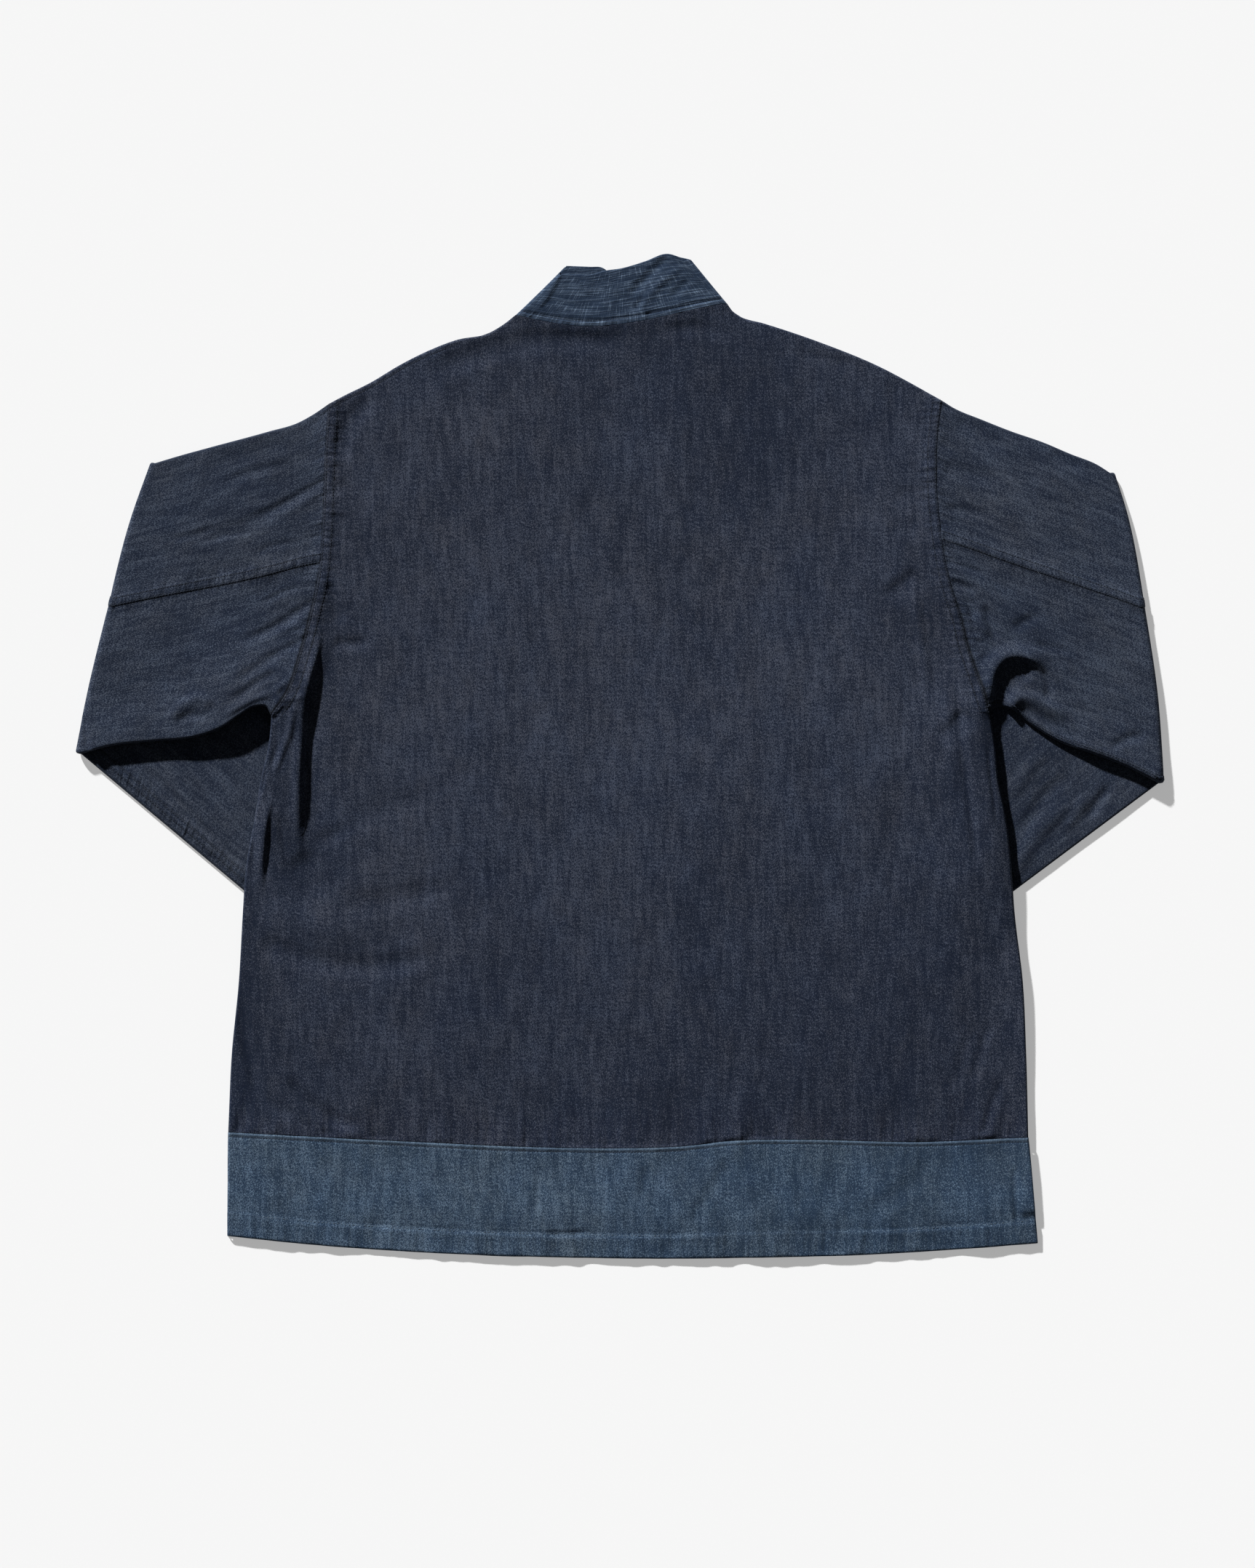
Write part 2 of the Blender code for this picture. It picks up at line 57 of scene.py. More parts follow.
# %% Place the camera
MM = 0.001
PICTURE_HEIGHT = 2156
TABLE_PER_PIXEL = 0.6
CAMERA_HEIGHT = 3.0
CAMERA_CENTRE = (6.2, -22.7)
SENSOR = 36.0
FARTHEST = 50.0


def add_object(name, data):
    """Put a new object into the scene, at the origin."""
    added = bpy.data.objects.new(name, data)
    bpy.context.scene.collection.objects.link(added)
    return added


picture_height = PICTURE_HEIGHT * TABLE_PER_PIXEL * MM
lens = bpy.data.cameras.new("copy_stand")
lens.sensor_width = SENSOR
lens.lens = SENSOR * CAMERA_HEIGHT / picture_height
lens.clip_end = FARTHEST
camera = add_object("copy_stand", lens)
camera.location = (CAMERA_CENTRE[0] * MM, CAMERA_CENTRE[1] * MM, CAMERA_HEIGHT)
bpy.context.scene.camera = camera
print("lens", round(lens.lens, 1), "mm for a picture", round(picture_height, 3), "m high")

# %% [markdown]
# ## Light
#
# One raking lamp from beyond the left shoulder draws the folds and throws a short shadow to the
# lower right. The rest of the room is an even pale fill, which leaves the shadows grey on the
# table. On dark cloth a slope of a few degrees only shows in raking light.

# %% Set the lamp and the fill
LAMP_RISE = 23.0
LAMP_TOWARDS = (0.5, -0.86)
LAMP_WIDTH = 2.6
LAMP_STRENGTH = 8.7
FILL_STRENGTH = 0.09

lamp_data = bpy.data.lights.new("raking_lamp", "SUN")
lamp_data.energy = LAMP_STRENGTH
lamp_data.angle = radians(LAMP_WIDTH)
lamp = add_object("raking_lamp", lamp_data)
lamp_turn = np.arctan2(-LAMP_TOWARDS[0], LAMP_TOWARDS[1])
lamp.rotation_euler = (radians(90.0 - LAMP_RISE), 0.0, lamp_turn)

room = bpy.data.worlds.new("pale_room")
room.use_nodes = True
background = room.node_tree.nodes["Background"]
background.inputs["Color"].default_value = (1.0, 1.0, 1.0, 1.0)
background.inputs["Strength"].default_value = FILL_STRENGTH
bpy.context.scene.world = room
bpy.context.scene.view_settings.view_transform = "Standard"
print("lamp at", LAMP_RISE, "degrees over the table")

# %% [markdown]
# ## Outlines
#
# A flat-laid garment is easiest to describe in plan. These short tables hold the outline of each
# panel in millimetres, from the hem up and from the wearer's left, as the solids have it. Smooth
# curves run through them. A lesson from pattern cutting: few points, placed where the curve
# turns, give a cleaner edge than many.

# %% Outline tables
# The jacket's middle in these tables, which goes to the origin.
MIDDLE = np.array([0.441, 0.240])

LEFT_SIDE = [
    (-322.5, -309.3), (-319.5, -245.7), (-313.5, -185.7), (-309.9, -125.7), (-307.5, -91.5),
    (-300.3, -50.1), (-294.9, -17.7), (-288.5, 11.1), (-286.5, 33.9),
]
RIGHT_SIDE = [
    (336.9, -313.5), (335.1, -245.7), (332.1, -185.7), (324.9, -125.7), (321.9, -84.3),
    (317.1, -45.9), (311.7, -20.1), (309.3, 5.7), (304.5, 36.9),
]
LEFT_ARMHOLE = [
    (-239.7, 290.7), (-242.1, 249.9), (-243.9, 197.1), (-247.5, 149.7), (-255.9, 111.3),
    (-263.7, 82.5), (-273.3, 53.7), (-286.5, 33.9),
]
RIGHT_ARMHOLE = [
    (265.5, 293.7), (261.8, 257.1), (261.5, 220.5), (264.3, 187.5), (272.7, 141.3),
    (281.1, 115.0), (286.5, 92.1), (295.5, 64.5), (304.5, 36.9),
]
LEFT_SHOULDER = [
    (-239.7, 290.7), (-228.9, 296.7), (-204.9, 308.7), (-180.9, 323.1), (-156.9, 335.1),
    (-132.9, 344.1), (-108.9, 348.8), (-96.9, 355.6), (-85.5, 363.9),
]
RIGHT_SHOULDER = [
    (88.5, 373.6), (92.5, 368.0), (98.7, 363.3), (119.1, 357.3), (167.1, 341.1),
    (215.1, 321.3), (239.1, 308.7), (265.5, 293.7),
]
BACK_NECK = [
    (-85.5, 363.9), (-64.5, 359.1), (-42.9, 355.5), (-18.9, 354.3), (-5.7, 355.5),
    (19.5, 359.1), (41.7, 363.9), (63.3, 368.7), (88.5, 373.6),
]
BAND_SEAM = [
    (-322.5, -309.3), (-170.0, -317.0), (-57.9, -321.9), (0.0, -322.5), (51.9, -320.9),
    (90.0, -316.5), (137.1, -315.3), (251.7, -317.1), (336.9, -313.5),
]
HEM = [
    (-323.1, -395.1), (-240.0, -403.5), (-170.1, -408.3), (-60.0, -412.5), (29.1, -413.9),
    (137.1, -412.5), (200.0, -410.8), (274.5, -406.5), (344.7, -401.1),
]
LEFT_BAND_END = [(-323.1, -395.1), (-323.1, -365.7), (-322.5, -335.7), (-322.5, -309.3)]
RIGHT_BAND_END = [(344.7, -401.1), (342.0, -365.7), (339.6, -335.7), (336.9, -313.5)]

COLLAR_TOP_BACK = [
    (-48.6, 397.7), (-36.0, 397.4), (-23.0, 397.5), (-12.7, 400.3), (2.7, 402.7),
    (21.0, 408.2), (39.8, 414.4), (52.0, 410.8),
]
COLLAR_TOP_LEFT = [(-45.5, 404.8), (-36.0, 404.5), (-24.0, 404.0), (-15.0, 403.6), (-5.0, 396.0)]
COLLAR_TOP_RIGHT = [(7.4, 396.0), (17.0, 403.0), (28.0, 405.0), (44.0, 408.5), (55.5, 410.3)]
COLLAR_TOP_FOLDS = [(-49.0, 399.0), (59.0, 409.5)]

Sleeve = namedtuple(
    "Sleeve", "name armhole top_edge lower_edge fold cuff back_seam underarm_seam"
)
LEFT_SLEEVE = Sleeve(
    name="sleeve_left",
    armhole=LEFT_ARMHOLE,
    top_edge=[
        (-239.7, 290.7), (-252.9, 281.7), (-264.9, 275.1), (-288.9, 267.9), (-336.9, 254.7),
        (-360.9, 248.1),
    ],
    lower_edge=[
        (-286.5, 33.9), (-291.0, 41.0), (-300.0, 41.0), (-313.0, 33.5), (-326.7, 24.0),
        (-349.5, 15.9), (-380.1, 12.9), (-418.5, 8.7),
    ],
    fold=[(-386.1, 242.7), (-402.0, 198.0), (-423.5, 114.3), (-437.9, 54.3), (-447.9, 3.3)],
    cuff=[(-67.7, -86.1), (-183.9, -215.7)],
    back_seam=0.5,
    underarm_seam=2.055,
)
RIGHT_SLEEVE = Sleeve(
    name="sleeve_right",
    armhole=RIGHT_ARMHOLE,
    top_edge=[
        (265.5, 293.7), (275.1, 287.7), (299.1, 277.5), (323.1, 267.9), (347.1, 259.5),
        (371.1, 249.3), (393.0, 240.5),
    ],
    lower_edge=[
        (304.5, 36.9), (313.0, 41.0), (321.0, 39.5), (340.0, 25.5), (363.0, 11.5), (389.7, 2.1),
        (413.7, -7.0),
    ],
    fold=[(407.7, 234.3), (417.3, 204.3), (434.1, 114.3), (443.0, 54.3), (448.5, -21.3)],
    cuff=[(63.3, -89.1), (172.7, -224.4)],
    back_seam=0.44,
    underarm_seam=0.985,
)
print("outline tables for the body, the collar and two sleeves")

# %% [markdown]
# ## Curves and grids
#
# Every panel is a grid of points between four curved edges. Rows and columns crowd together
# where a seam needs a crisp step, and spread out over plain cloth, which keeps the panel light.

# %% Curves and grids
GROWTH = 1.16
END_SHARE = 0.4
CHANCES = 997
MOTTLE_CELLS = 211
MOTTLE_ORIGIN = 500.0


def smooth_step(value):
    """Ease from 0 to 1 while the value goes from 0 to 1."""
    held = np.clip(value, 0.0, 1.0)
    return held * held * (3.0 - 2.0 * held)


def curve(points, shares):
    """Points at these shares of the length of a smooth curve through the table's points."""
    knots = np.array(points, float)
    steps = np.linalg.norm(np.diff(knots, axis=0), axis=1)
    place = np.concatenate([[0.0], np.cumsum(steps)])
    slopes = np.gradient(knots, place, axis=0)
    wanted = np.clip(np.asarray(shares, float), 0.0, 1.0) * place[-1]
    first = np.clip(np.searchsorted(place, wanted, side="right") - 1, 0, len(steps) - 1)
    span = steps[first][:, None]
    along = ((wanted - place[first]) / steps[first])[:, None]
    squared = along ** 2
    cubed = along ** 3
    return (
        (2 * cubed - 3 * squared + 1) * knots[first]
        + (cubed - 2 * squared + along) * span * slopes[first]
        + (3 * squared - 2 * cubed) * knots[first + 1]
        + (cubed - squared) * span * slopes[first + 1]
    )


def point_at(points, share):
    """One point of a curve."""
    return curve(points, [share])[0]


def length_of(points):
    """Length of a run of points."""
    return np.linalg.norm(np.diff(np.array(points, float), axis=0), axis=1).sum()


def walked(points):
    """How far along a run of points each one lies."""
    return np.concatenate([[0.0], np.cumsum(np.linalg.norm(np.diff(points, axis=0), axis=1))])


def joined(parts, stops, shares):
    """Points along curves that follow each other, each filling its own stretch of shares."""
    found = np.zeros((len(shares), 2))
    for points, first, last in zip(parts, stops[:-1], stops[1:]):
        mine = (shares >= first) & (shares <= last)
        found[mine] = curve(points, (shares[mine] - first) / (last - first))
    return found


def patch(left, right, bottom, top, columns, rows):
    """Fill four boundary curves, given at the same columns and rows, with a smooth grid."""
    u = columns[None, :, None]
    v = rows[:, None, None]
    across = (1 - u) * left[:, None] + u * right[:, None]
    along = (1 - v) * bottom[None] + v * top[None]
    corners = (
        (1 - u) * (1 - v) * bottom[0]
        + u * (1 - v) * bottom[-1]
        + (1 - u) * v * top[0]
        + u * v * top[-1]
    )
    return across + along - corners


def spread(length, begin, finish, widest, growth=GROWTH):
    """Shares from 0 to 1 whose spacing grows from begin and from finish to the widest."""
    ends = []
    for step in (begin, finish):
        places = [0.0]
        while step < widest and places[-1] + step < END_SHARE * length:
            places.append(places[-1] + step)
            step *= growth
        ends.append(np.array(places))
    between = length - ends[0][-1] - ends[1][-1]
    middle = np.linspace(0.0, between, max(int(round(between / widest)), 1) + 1)[1:-1]
    places = [ends[0], ends[0][-1] + middle, length - ends[1][::-1]]
    return np.concatenate(places) / length


def uneven(place, pitch, seed, steep=1.0):
    """Smooth chance values from -1 to 1 along a length, about a pitch apart."""
    values = np.random.default_rng(seed).uniform(-1.0, 1.0, CHANCES)
    at = np.asarray(place, float) / pitch
    first = np.floor(at).astype(int)
    part = smooth_step((at - first) / steep)
    return values[first % CHANCES] * (1.0 - part) + values[(first + 1) % CHANCES] * part


def mottle(plan, pitch, seed, stretch=1.0):
    """Smooth chance values from -1 to 1 over a plan, about a pitch apart."""
    values = np.random.default_rng(seed).uniform(-1.0, 1.0, (MOTTLE_CELLS, MOTTLE_CELLS))
    x = plan[..., 0] / pitch + MOTTLE_ORIGIN
    y = plan[..., 1] / (pitch * stretch) + MOTTLE_ORIGIN
    i, j = np.floor(x).astype(int), np.floor(y).astype(int)
    u, v = smooth_step(x - i), smooth_step(y - j)
    i0, i1, j0, j1 = (cell % MOTTLE_CELLS for cell in (i, i + 1, j, j + 1))
    low = values[i0, j0] * (1 - u) + values[i1, j0] * u
    high = values[i0, j1] * (1 - u) + values[i1, j1] * u
    return low * (1 - v) + high * v


def rumpled(plan, waves):
    """Unevenness over a plan, from waves that each have a height, a pitch, a seed and a stretch."""
    return sum(height * mottle(plan, *wave) for height, *wave in waves)


def hump(distance, half):
    """1 at no distance, and in a round curve down to 0 at the half width."""
    return np.clip(1.0 - (distance / half) ** 2, 0.0, None)


def dying(distance, reach):
    """1 at no distance, and dying away over the reach."""
    return np.exp(-distance / reach)


def spot(distance, reach):
    """1 at no distance, and soft all round, as a spot of about the reach."""
    return np.exp(-((distance / reach) ** 2))


print("a 240 mm edge at 3.2 mm spacing takes", len(spread(240.0, 0.45, 0.45, 3.2)), "columns")

# %% [markdown]
# ## Folds
#
# A fold is a line in plan with a soft section. Each row of a table names its line, the half
# widths on its left and right as it is walked, its height, and how gently it starts and
# finishes. Where they aren't 0, two more numbers say how far its crest leans to the right, and
# what share of its height the layer underneath follows. A fold with one short half width and a
# lean falls steeply on that side and throws a black shadow in raking light, as the big fold
# under the left armhole does. Folds were placed one by one, since a simulated drop would crease
# somewhere else.

# %% Fold tables and their sum
Fold = namedtuple(
    "Fold", "line left right height begin finish lean below", defaults=(0.0, 0.0)
)

UPPER_FOLDS = [
    # Under the left armhole: the body is held up by the sleeve and drops steeply to the right.
    Fold([(-264, -104), (-268, -66), (-270, -30), (-271, 4),
          (-269, 32), (-262, 58), (-251, 90), (-245, 124)], 120, 17, 6.8, 96, 90, 0.4, 0.1),
    Fold([(-262, -88), (-263, -52), (-263, -30), (-262, -3), (-260, 18),
          (-259, 39), (-255, 62), (-249, 86), (-246, 116)], 8, 4, 3.4, 62, 50, 0.4, 0.1),
    Fold([(-262, 56), (-267, 38), (-271, 20), (-277, 4), (-284, -14)], 4, 5, 1.2, 8, 8),
    Fold([(-293, -122), (-294, -98), (-293, -74), (-290, -50), (-285, -28)],
         9, 3.6, 3, 46, 40, 0.6),
    Fold([(-285, 30), (-281, 10), (-285, -12)], 5, 5, -1, 8, 8),
    Fold([(-298, -92), (-302, -66), (-300, -44), (-294, -24), (-290, -4)], 3, 3, -1.3, 14, 14),
    Fold([(-270, -100), (-276, -72), (-280, -46)], 4, 4, -1, 24, 20),
    Fold([(-266, -76), (-258, -98), (-246, -124)], 18, 16, -2.8, 18, 20),
    Fold([(-254, -72), (-238, -66), (-216, -54)], 9, 9, -1.2, 12, 14),
    Fold([(-236, 94), (-222, 93), (-202, 95)], 6, 6, -1.9, 5, 14),
    Fold([(-241, 144), (-234, 126), (-229, 108)], 7, 8, -1.7, 8, 8),
    Fold([(-240, 197), (-231, 195), (-220, 194)], 3, 4, -0.9, 3, 8),
    Fold([(-238, 228), (-230, 224), (-220, 222)], 4, 5, -0.9, 3, 8),
    Fold([(-236, 262), (-228, 256), (-220, 244)], 5, 5, -0.9, 4, 8),
    Fold([(-288, 28), (-280, 34), (-272, 42)], 4, 4, -1.2, 5, 5),
    # Lower edge of the left sleeve.
    Fold([(-256, 48), (-280, 44), (-304, 43), (-327, 32), (-352, 22)], 80, 60, 3.2, 40, 40, 0, 0.6),
    Fold([(-300, 42), (-345, 24), (-390, 14), (-436, 8)], 60, 44, 3, 60, 1, 0, 0.85),
    Fold([(-372, 30), (-358, 44), (-344, 49), (-332, 42)], 5, 10, 2, 10, 8),
    Fold([(-366, 28), (-350, 34), (-336, 32)], 5, 5, -1.2, 8, 8),
    Fold([(-326, 33), (-312, 41), (-298, 48), (-284, 52)], 6, 4, 1.2, 12, 8),
    Fold([(-322, 46), (-310, 52), (-296, 62), (-280, 70)], 5, 5, -1.2, 10, 8),
    Fold([(-316, 60), (-300, 72), (-276, 86)], 6, 6, -1.1, 12, 10),
    Fold([(-284, 52), (-278, 58), (-272, 62)], 4, 4, 1.2, 4, 4),
    # From the left armhole out over the sleeve.
    Fold([(-238, 231), (-262, 217), (-288, 203), (-312, 195)], 6, 4, -1.2, 6, 24),
    Fold([(-240, 222), (-262, 207), (-290, 195)], 4, 7, 0.8, 6, 20),
    Fold([(-258, 214), (-282, 200), (-330, 184), (-362, 174)], 8, 8, -0.8, 12, 40),
    Fold([(-248, 129), (-266, 119), (-281, 109), (-317, 92)], 6, 4, -1.3, 6, 26),
    Fold([(-252, 118), (-270, 106), (-292, 96)], 4, 6, 0.8, 6, 24),
    Fold([(-252, 101), (-272, 90), (-300, 78)], 5, 3, -1, 6, 24),
    Fold([(-300, 186), (-322, 182), (-346, 176)], 4, 3, -0.9, 10, 14),
    Fold([(-330, 190), (-350, 183), (-374, 178)], 4, 3, -0.8, 10, 14),
    Fold([(-262, 178), (-284, 174), (-304, 166)], 5, 3, -0.8, 12, 16),
    Fold([(-268, 243), (-300, 236), (-330, 224)], 8, 5, -0.8, 16, 20),
    Fold([(-262, 140), (-280, 134), (-298, 124)], 4, 3, -0.7, 8, 12),
    Fold([(-262, 262), (-300, 250), (-346, 236)], 12, 12, -0.8, 18, 30),
    Fold([(-290, 160), (-340, 142), (-400, 120)], 16, 16, -0.9, 30, 40),
    # Left shoulder and neck.
    Fold([(-202, 297), (-223, 273), (-232, 240)], 11, 11, -1.4, 12, 16),
    Fold([(-170, 308), (-121, 330), (-79, 341), (-37, 345), (17, 341)], 14, 14, -1.7, 40, 40),
    Fold([(29, 351), (65, 353), (101, 345)], 9, 9, -1, 20, 20),
    Fold([(140, 332), (166, 328), (196, 318)], 8, 8, -0.7, 16, 16),
    # Right armhole, on the body.
    Fold([(222, 312), (228, 288), (242, 252), (257, 210), (263, 180)], 7, 7, -1.1, 16, 20),
    Fold([(216, 130), (232, 142), (246, 152)], 7, 18, -1.9, 12, 6),
    Fold([(241, 150), (246, 118), (252, 80), (256, 50)], 5, 8, 1.7, 10, 20, 0.8),
    Fold([(226, 216), (236, 216), (246, 219)], 9, 9, -0.8, 5, 5),
    Fold([(222, 186), (234, 188), (246, 190)], 9, 9, -0.8, 5, 5),
    # Right side of the body.
    Fold([(284, 96), (287, 74), (290, 52), (293, 20), (297, -14),
          (302, -48), (307, -84), (311, -130), (315, -180)], 27, 64, 7.8, 80, 110, 0, 0.6),
    Fold([(276, 66), (279, 40), (281, 10), (285, -20), (290, -60), (294, -100)],
         6, 5, -1.7, 26, 30),
    Fold([(266, 70), (269, 40), (272, 0), (277, -50)], 6, 6, 0.8, 24, 30),
    Fold([(302, 10), (306, -24), (311, -60)], 3, 3, -0.8, 12, 20),
    Fold([(262, 14), (273, 25), (286, 40)], 7, 18, -1.9, 10, 8),
    Fold([(330, -140), (333, -200), (336, -262), (338, -312), (342, -380)],
         12, 22, 2.4, 40, 8, 0, 0.5),
    # Lower right of the body.
    Fold([(287, -226), (281, -252), (275, -278)], 6, 6, -1, 14, 14),
    Fold([(306, -214), (298, -242), (290, -272)], 6, 6, -1, 16, 16),
    Fold([(315, -262), (307, -288), (299, -312)], 6, 6, -1.2, 16, 4),
    # Lower left of the body.
    Fold([(-298, -151), (-259, -167), (-199, -172), (-139, -161)], 12, 12, -1.8, 16, 40),
    Fold([(-301, -132), (-241, -141), (-175, -143)], 18, 18, 1, 20, 40),
    Fold([(-229, -123), (-187, -117), (-127, -105)], 14, 14, -1.3, 20, 34),
    Fold([(-229, -58), (-187, -42), (-139, -27)], 16, 16, -0.8, 20, 34),
    Fold([(-314, -190), (-305, -245), (-292, -280), (-268, -300)], 8, 8, -1.9, 40, 16),
    Fold([(-276, -262), (-262, -280), (-240, -296), (-214, -306)], 8, 8, -2.3, 16, 10),
    # Long faint folds down the back.
    Fold([(59, 312), (62, 252), (66, 180)], 9, 9, -0.5, 30, 50),
    Fold([(80, 316), (83, 282), (84, 246)], 8, 8, -0.5, 20, 30),
    Fold([(-24, 240), (-20, 170), (-26, 90)], 14, 14, -0.5, 40, 50),
    Fold([(150, 120), (158, 30), (170, -60)], 20, 20, -0.7, 50, 50),
    Fold([(225, -10), (226, -60), (222, -120)], 16, 16, -0.8, 30, 40),
    # Right sleeve: its lower edge, and the pinched cloth over the armpit.
    Fold([(330, 30), (345, 22), (368, 9), (416, -6), (446, -19)], 40, 40, 1.8, 80, 6, 0, 0.75),
    Fold([(322, 42), (338, 28), (354, 17), (372, 8), (390, 2)], 20, 16, -2, 6, 30),
    Fold([(307, 40), (305, 54), (308, 70), (317, 81), (329, 83), (341, 79), (350, 70)],
         13, 5, 5.4, 20, 20, 0.5),
    Fold([(311, 30), (312, 42), (315, 53), (320, 60), (328, 67), (338, 73)], 9, 9, -7.4, 2, 8),
    Fold([(322, 36), (326, 46), (336, 49), (352, 42), (374, 30)], 7, 12, 3, 5, 24),
    Fold([(345, 72), (351, 66), (353, 56), (350, 44)], 5, 4, -2.2, 7, 8),
    Fold([(272, 146), (284, 141), (296, 136)], 3, 5, -1.2, 4, 8),
    Fold([(286, 124), (290, 114), (292, 104)], 4, 3, -1.3, 5, 6),
    Fold([(276, 158), (288, 155), (302, 150)], 3, 4, -0.8, 4, 8),
    Fold([(300, 126), (305, 112), (311, 94)], 5, 5, -2, 8, 7),
    Fold([(292, 120), (297, 110), (303, 98)], 5, 5, 1.5, 6, 7),
    Fold([(284, 127), (289, 127), (294, 125)], 2.4, 2.4, -0.8, 2, 3),
    Fold([(287, 116), (291, 117), (295, 119)], 2.2, 2.2, -0.7, 2, 3),
    Fold([(289, 104), (294, 103), (300, 103)], 2.6, 2.6, -1, 2, 3),
    Fold([(292, 94), (297, 94), (303, 97)], 2.4, 2.4, -0.9, 2, 3),
    Fold([(296, 80), (301, 82), (306, 86)], 2.4, 2.4, -0.9, 2, 3),
    Fold([(322, 104), (334, 111), (348, 118)], 6, 6, -1.6, 8, 12),
    Fold([(340, 92), (356, 90), (376, 84)], 5, 5, -0.8, 8, 12),
    Fold([(402, 6), (416, 14), (434, 18)], 6, 6, -1.6, 10, 8),
    Fold([(266, 238), (292, 232), (320, 224)], 10, 10, -1, 6, 24),
    Fold([(268, 205), (290, 202), (312, 198)], 7, 7, -1, 6, 18),
    Fold([(275, 280), (300, 262), (318, 246)], 12, 12, -0.9, 10, 20),
    Fold([(352, 252), (368, 244), (384, 236)], 10, 10, -0.9, 10, 10),
]

LOWER_ARM_FOLDS = [
    Fold([(-392, -7), (-364, -36), (-331, -72)], 5, 5, -0.9, 16, 16),
    Fold([(-340, -4), (-324, -30), (-306, -62)], 14, 14, 0.8, 20, 20),
    Fold([(322, -100), (345, -62), (380, -30)], 10, 10, 1.4, 10, 24),
    Fold([(384, -54), (394, -38), (404, -22)], 6, 6, -1.7, 10, 10),
    Fold([(366, -62), (378, -44), (386, -28)], 6, 6, 1.2, 10, 12),
    Fold([(329, -66), (353, -30), (377, -12)], 8, 8, -1, 10, 20),
    Fold([(352, -104), (384, -78), (424, -46)], 8, 8, 1, 14, 24),
    Fold([(322, -34), (338, -8), (350, 6)], 9, 9, 1, 10, 12),
]
LINE_STEPS = 6


def beside(points, line):
    """Distance from each point to a line, its side (1 left, -1 right), its place along the line,
    the line's length, and the way to the right there."""
    nearest = np.full(len(points), np.inf)
    side, gone = np.zeros(len(points)), np.zeros(len(points))
    right = np.zeros((len(points), 2))
    walked = 0.0
    for start, end in zip(line[:-1], line[1:]):
        way = end - start
        length = np.linalg.norm(way)
        offset = points - start
        share = np.clip(offset @ way / length ** 2, 0.0, 1.0)
        gap = np.linalg.norm(offset - share[:, None] * way, axis=1)
        closer = gap < nearest
        nearest[closer] = gap[closer]
        side[closer] = np.sign(way[0] * offset[closer, 1] - way[1] * offset[closer, 0])
        gone[closer] = walked + share[closer] * length
        right[closer] = np.array([way[1], -way[0]]) / length
        walked += length
    return nearest, side, gone, walked, right


def press(plan, table):
    """What a table of folds adds at plan points: to the layer below, between, and sideways."""
    points = plan.reshape(-1, 2)
    below, between = np.zeros(len(points)), np.zeros(len(points))
    sideways = np.zeros((len(points), 2))
    for fold in table:
        count = LINE_STEPS * (len(fold.line) - 1) + 1
        line = curve(fold.line, np.linspace(0.0, 1.0, count))
        reach = max(fold.left, fold.right)
        near = np.all((points > line.min(0) - reach) & (points < line.max(0) + reach), axis=1)
        if not near.any():
            continue
        away, side, gone, length, right = beside(points[near], line)
        half = np.where(side > 0, fold.left, fold.right)
        section = hump(away, half) ** 2
        section *= smooth_step(gone / fold.begin) * smooth_step((length - gone) / fold.finish)
        below[near] += fold.height * fold.below * section
        between[near] += fold.height * (1.0 - fold.below) * section
        sideways[near] += (fold.lean * section)[:, None] * right
    shape = plan.shape[:-1]
    return below.reshape(shape), between.reshape(shape), sideways.reshape(plan.shape)


print(len(UPPER_FOLDS), "folds on the upper layer and", len(LOWER_ARM_FOLDS), "on the forearms")

# %% [markdown]
# ## Layers
#
# The jacket is a stack: the table, the fronts, the forearms folded under, the fronts over those,
# and the back on top. Every height is worked out from the plan alone, so two panels that meet at
# a seam agree there without being fitted to each other.

# %% Heights of the layers
CLOTH = 1.0
LAY = 4.4
EDGE_ROLL = 1.8
EDGE_GAP = 1.3
HEM_DROP = 2.1
HEM_EASE = 40.0
FOREARM_DEPTH = 3.4
FOREARM_LIFT = 4.0
LIFT_START = 4.0
LIFT_SLOPE = 170.0
LEAST_LAY = 2.2
FLOOR_SHARPNESS = 2.0
UNREST = [(0.36, 46.0, 3), (0.24, 21.0, 4, 1.4), (0.11, 9.0, 5, 1.3)]


def distance_to(plan, line):
    """Distance in plan to a run of straight pieces, and the place along it."""
    away, _, gone, _, _ = beside(plan.reshape(-1, 2), np.array(line, float))
    return away.reshape(plan.shape[:-1]), gone.reshape(plan.shape[:-1])


def outside_forearm(plan, sleeve):
    """How far plan points lie outside a folded forearm. Its fold edge is left open."""
    corners = np.array([sleeve.fold[0], *sleeve.cuff, sleeve.fold[-1]], float)
    middle = sum(corners) / len(corners)
    outside = np.zeros(plan.shape[:-1], bool)
    for start, end in zip(corners[:-1], corners[1:]):
        way = end - start
        outward = np.array([way[1], -way[0]])
        if np.dot(middle - start, outward) > 0:
            outward = -outward
        outside |= (plan - start) @ outward > 0
    return np.where(outside, distance_to(plan, corners)[0], 0.0)


def lift(plan):
    """How far the forearms raise what lies on them."""
    clear = np.ones(plan.shape[:-1])
    for sleeve in (LEFT_SLEEVE, RIGHT_SLEEVE):
        clear = clear * smooth_step((outside_forearm(plan, sleeve) - LIFT_START) / LIFT_SLOPE)
    return FOREARM_LIFT * (1.0 - clear)


def layers(plan):
    """Outside of the lower layer, room between the layers, and sideways push, over a plan.

    The unrest in the room is how washed cotton lies when it has been smoothed by hand."""
    below, between, sideways = press(plan, UPPER_FOLDS)
    room = LAY + between + rumpled(plan, UNREST)
    spare = np.logaddexp(0.0, (room - LEAST_LAY) * FLOOR_SHARPNESS) / FLOOR_SHARPNESS
    return lift(plan) + below, LEAST_LAY + spare, sideways


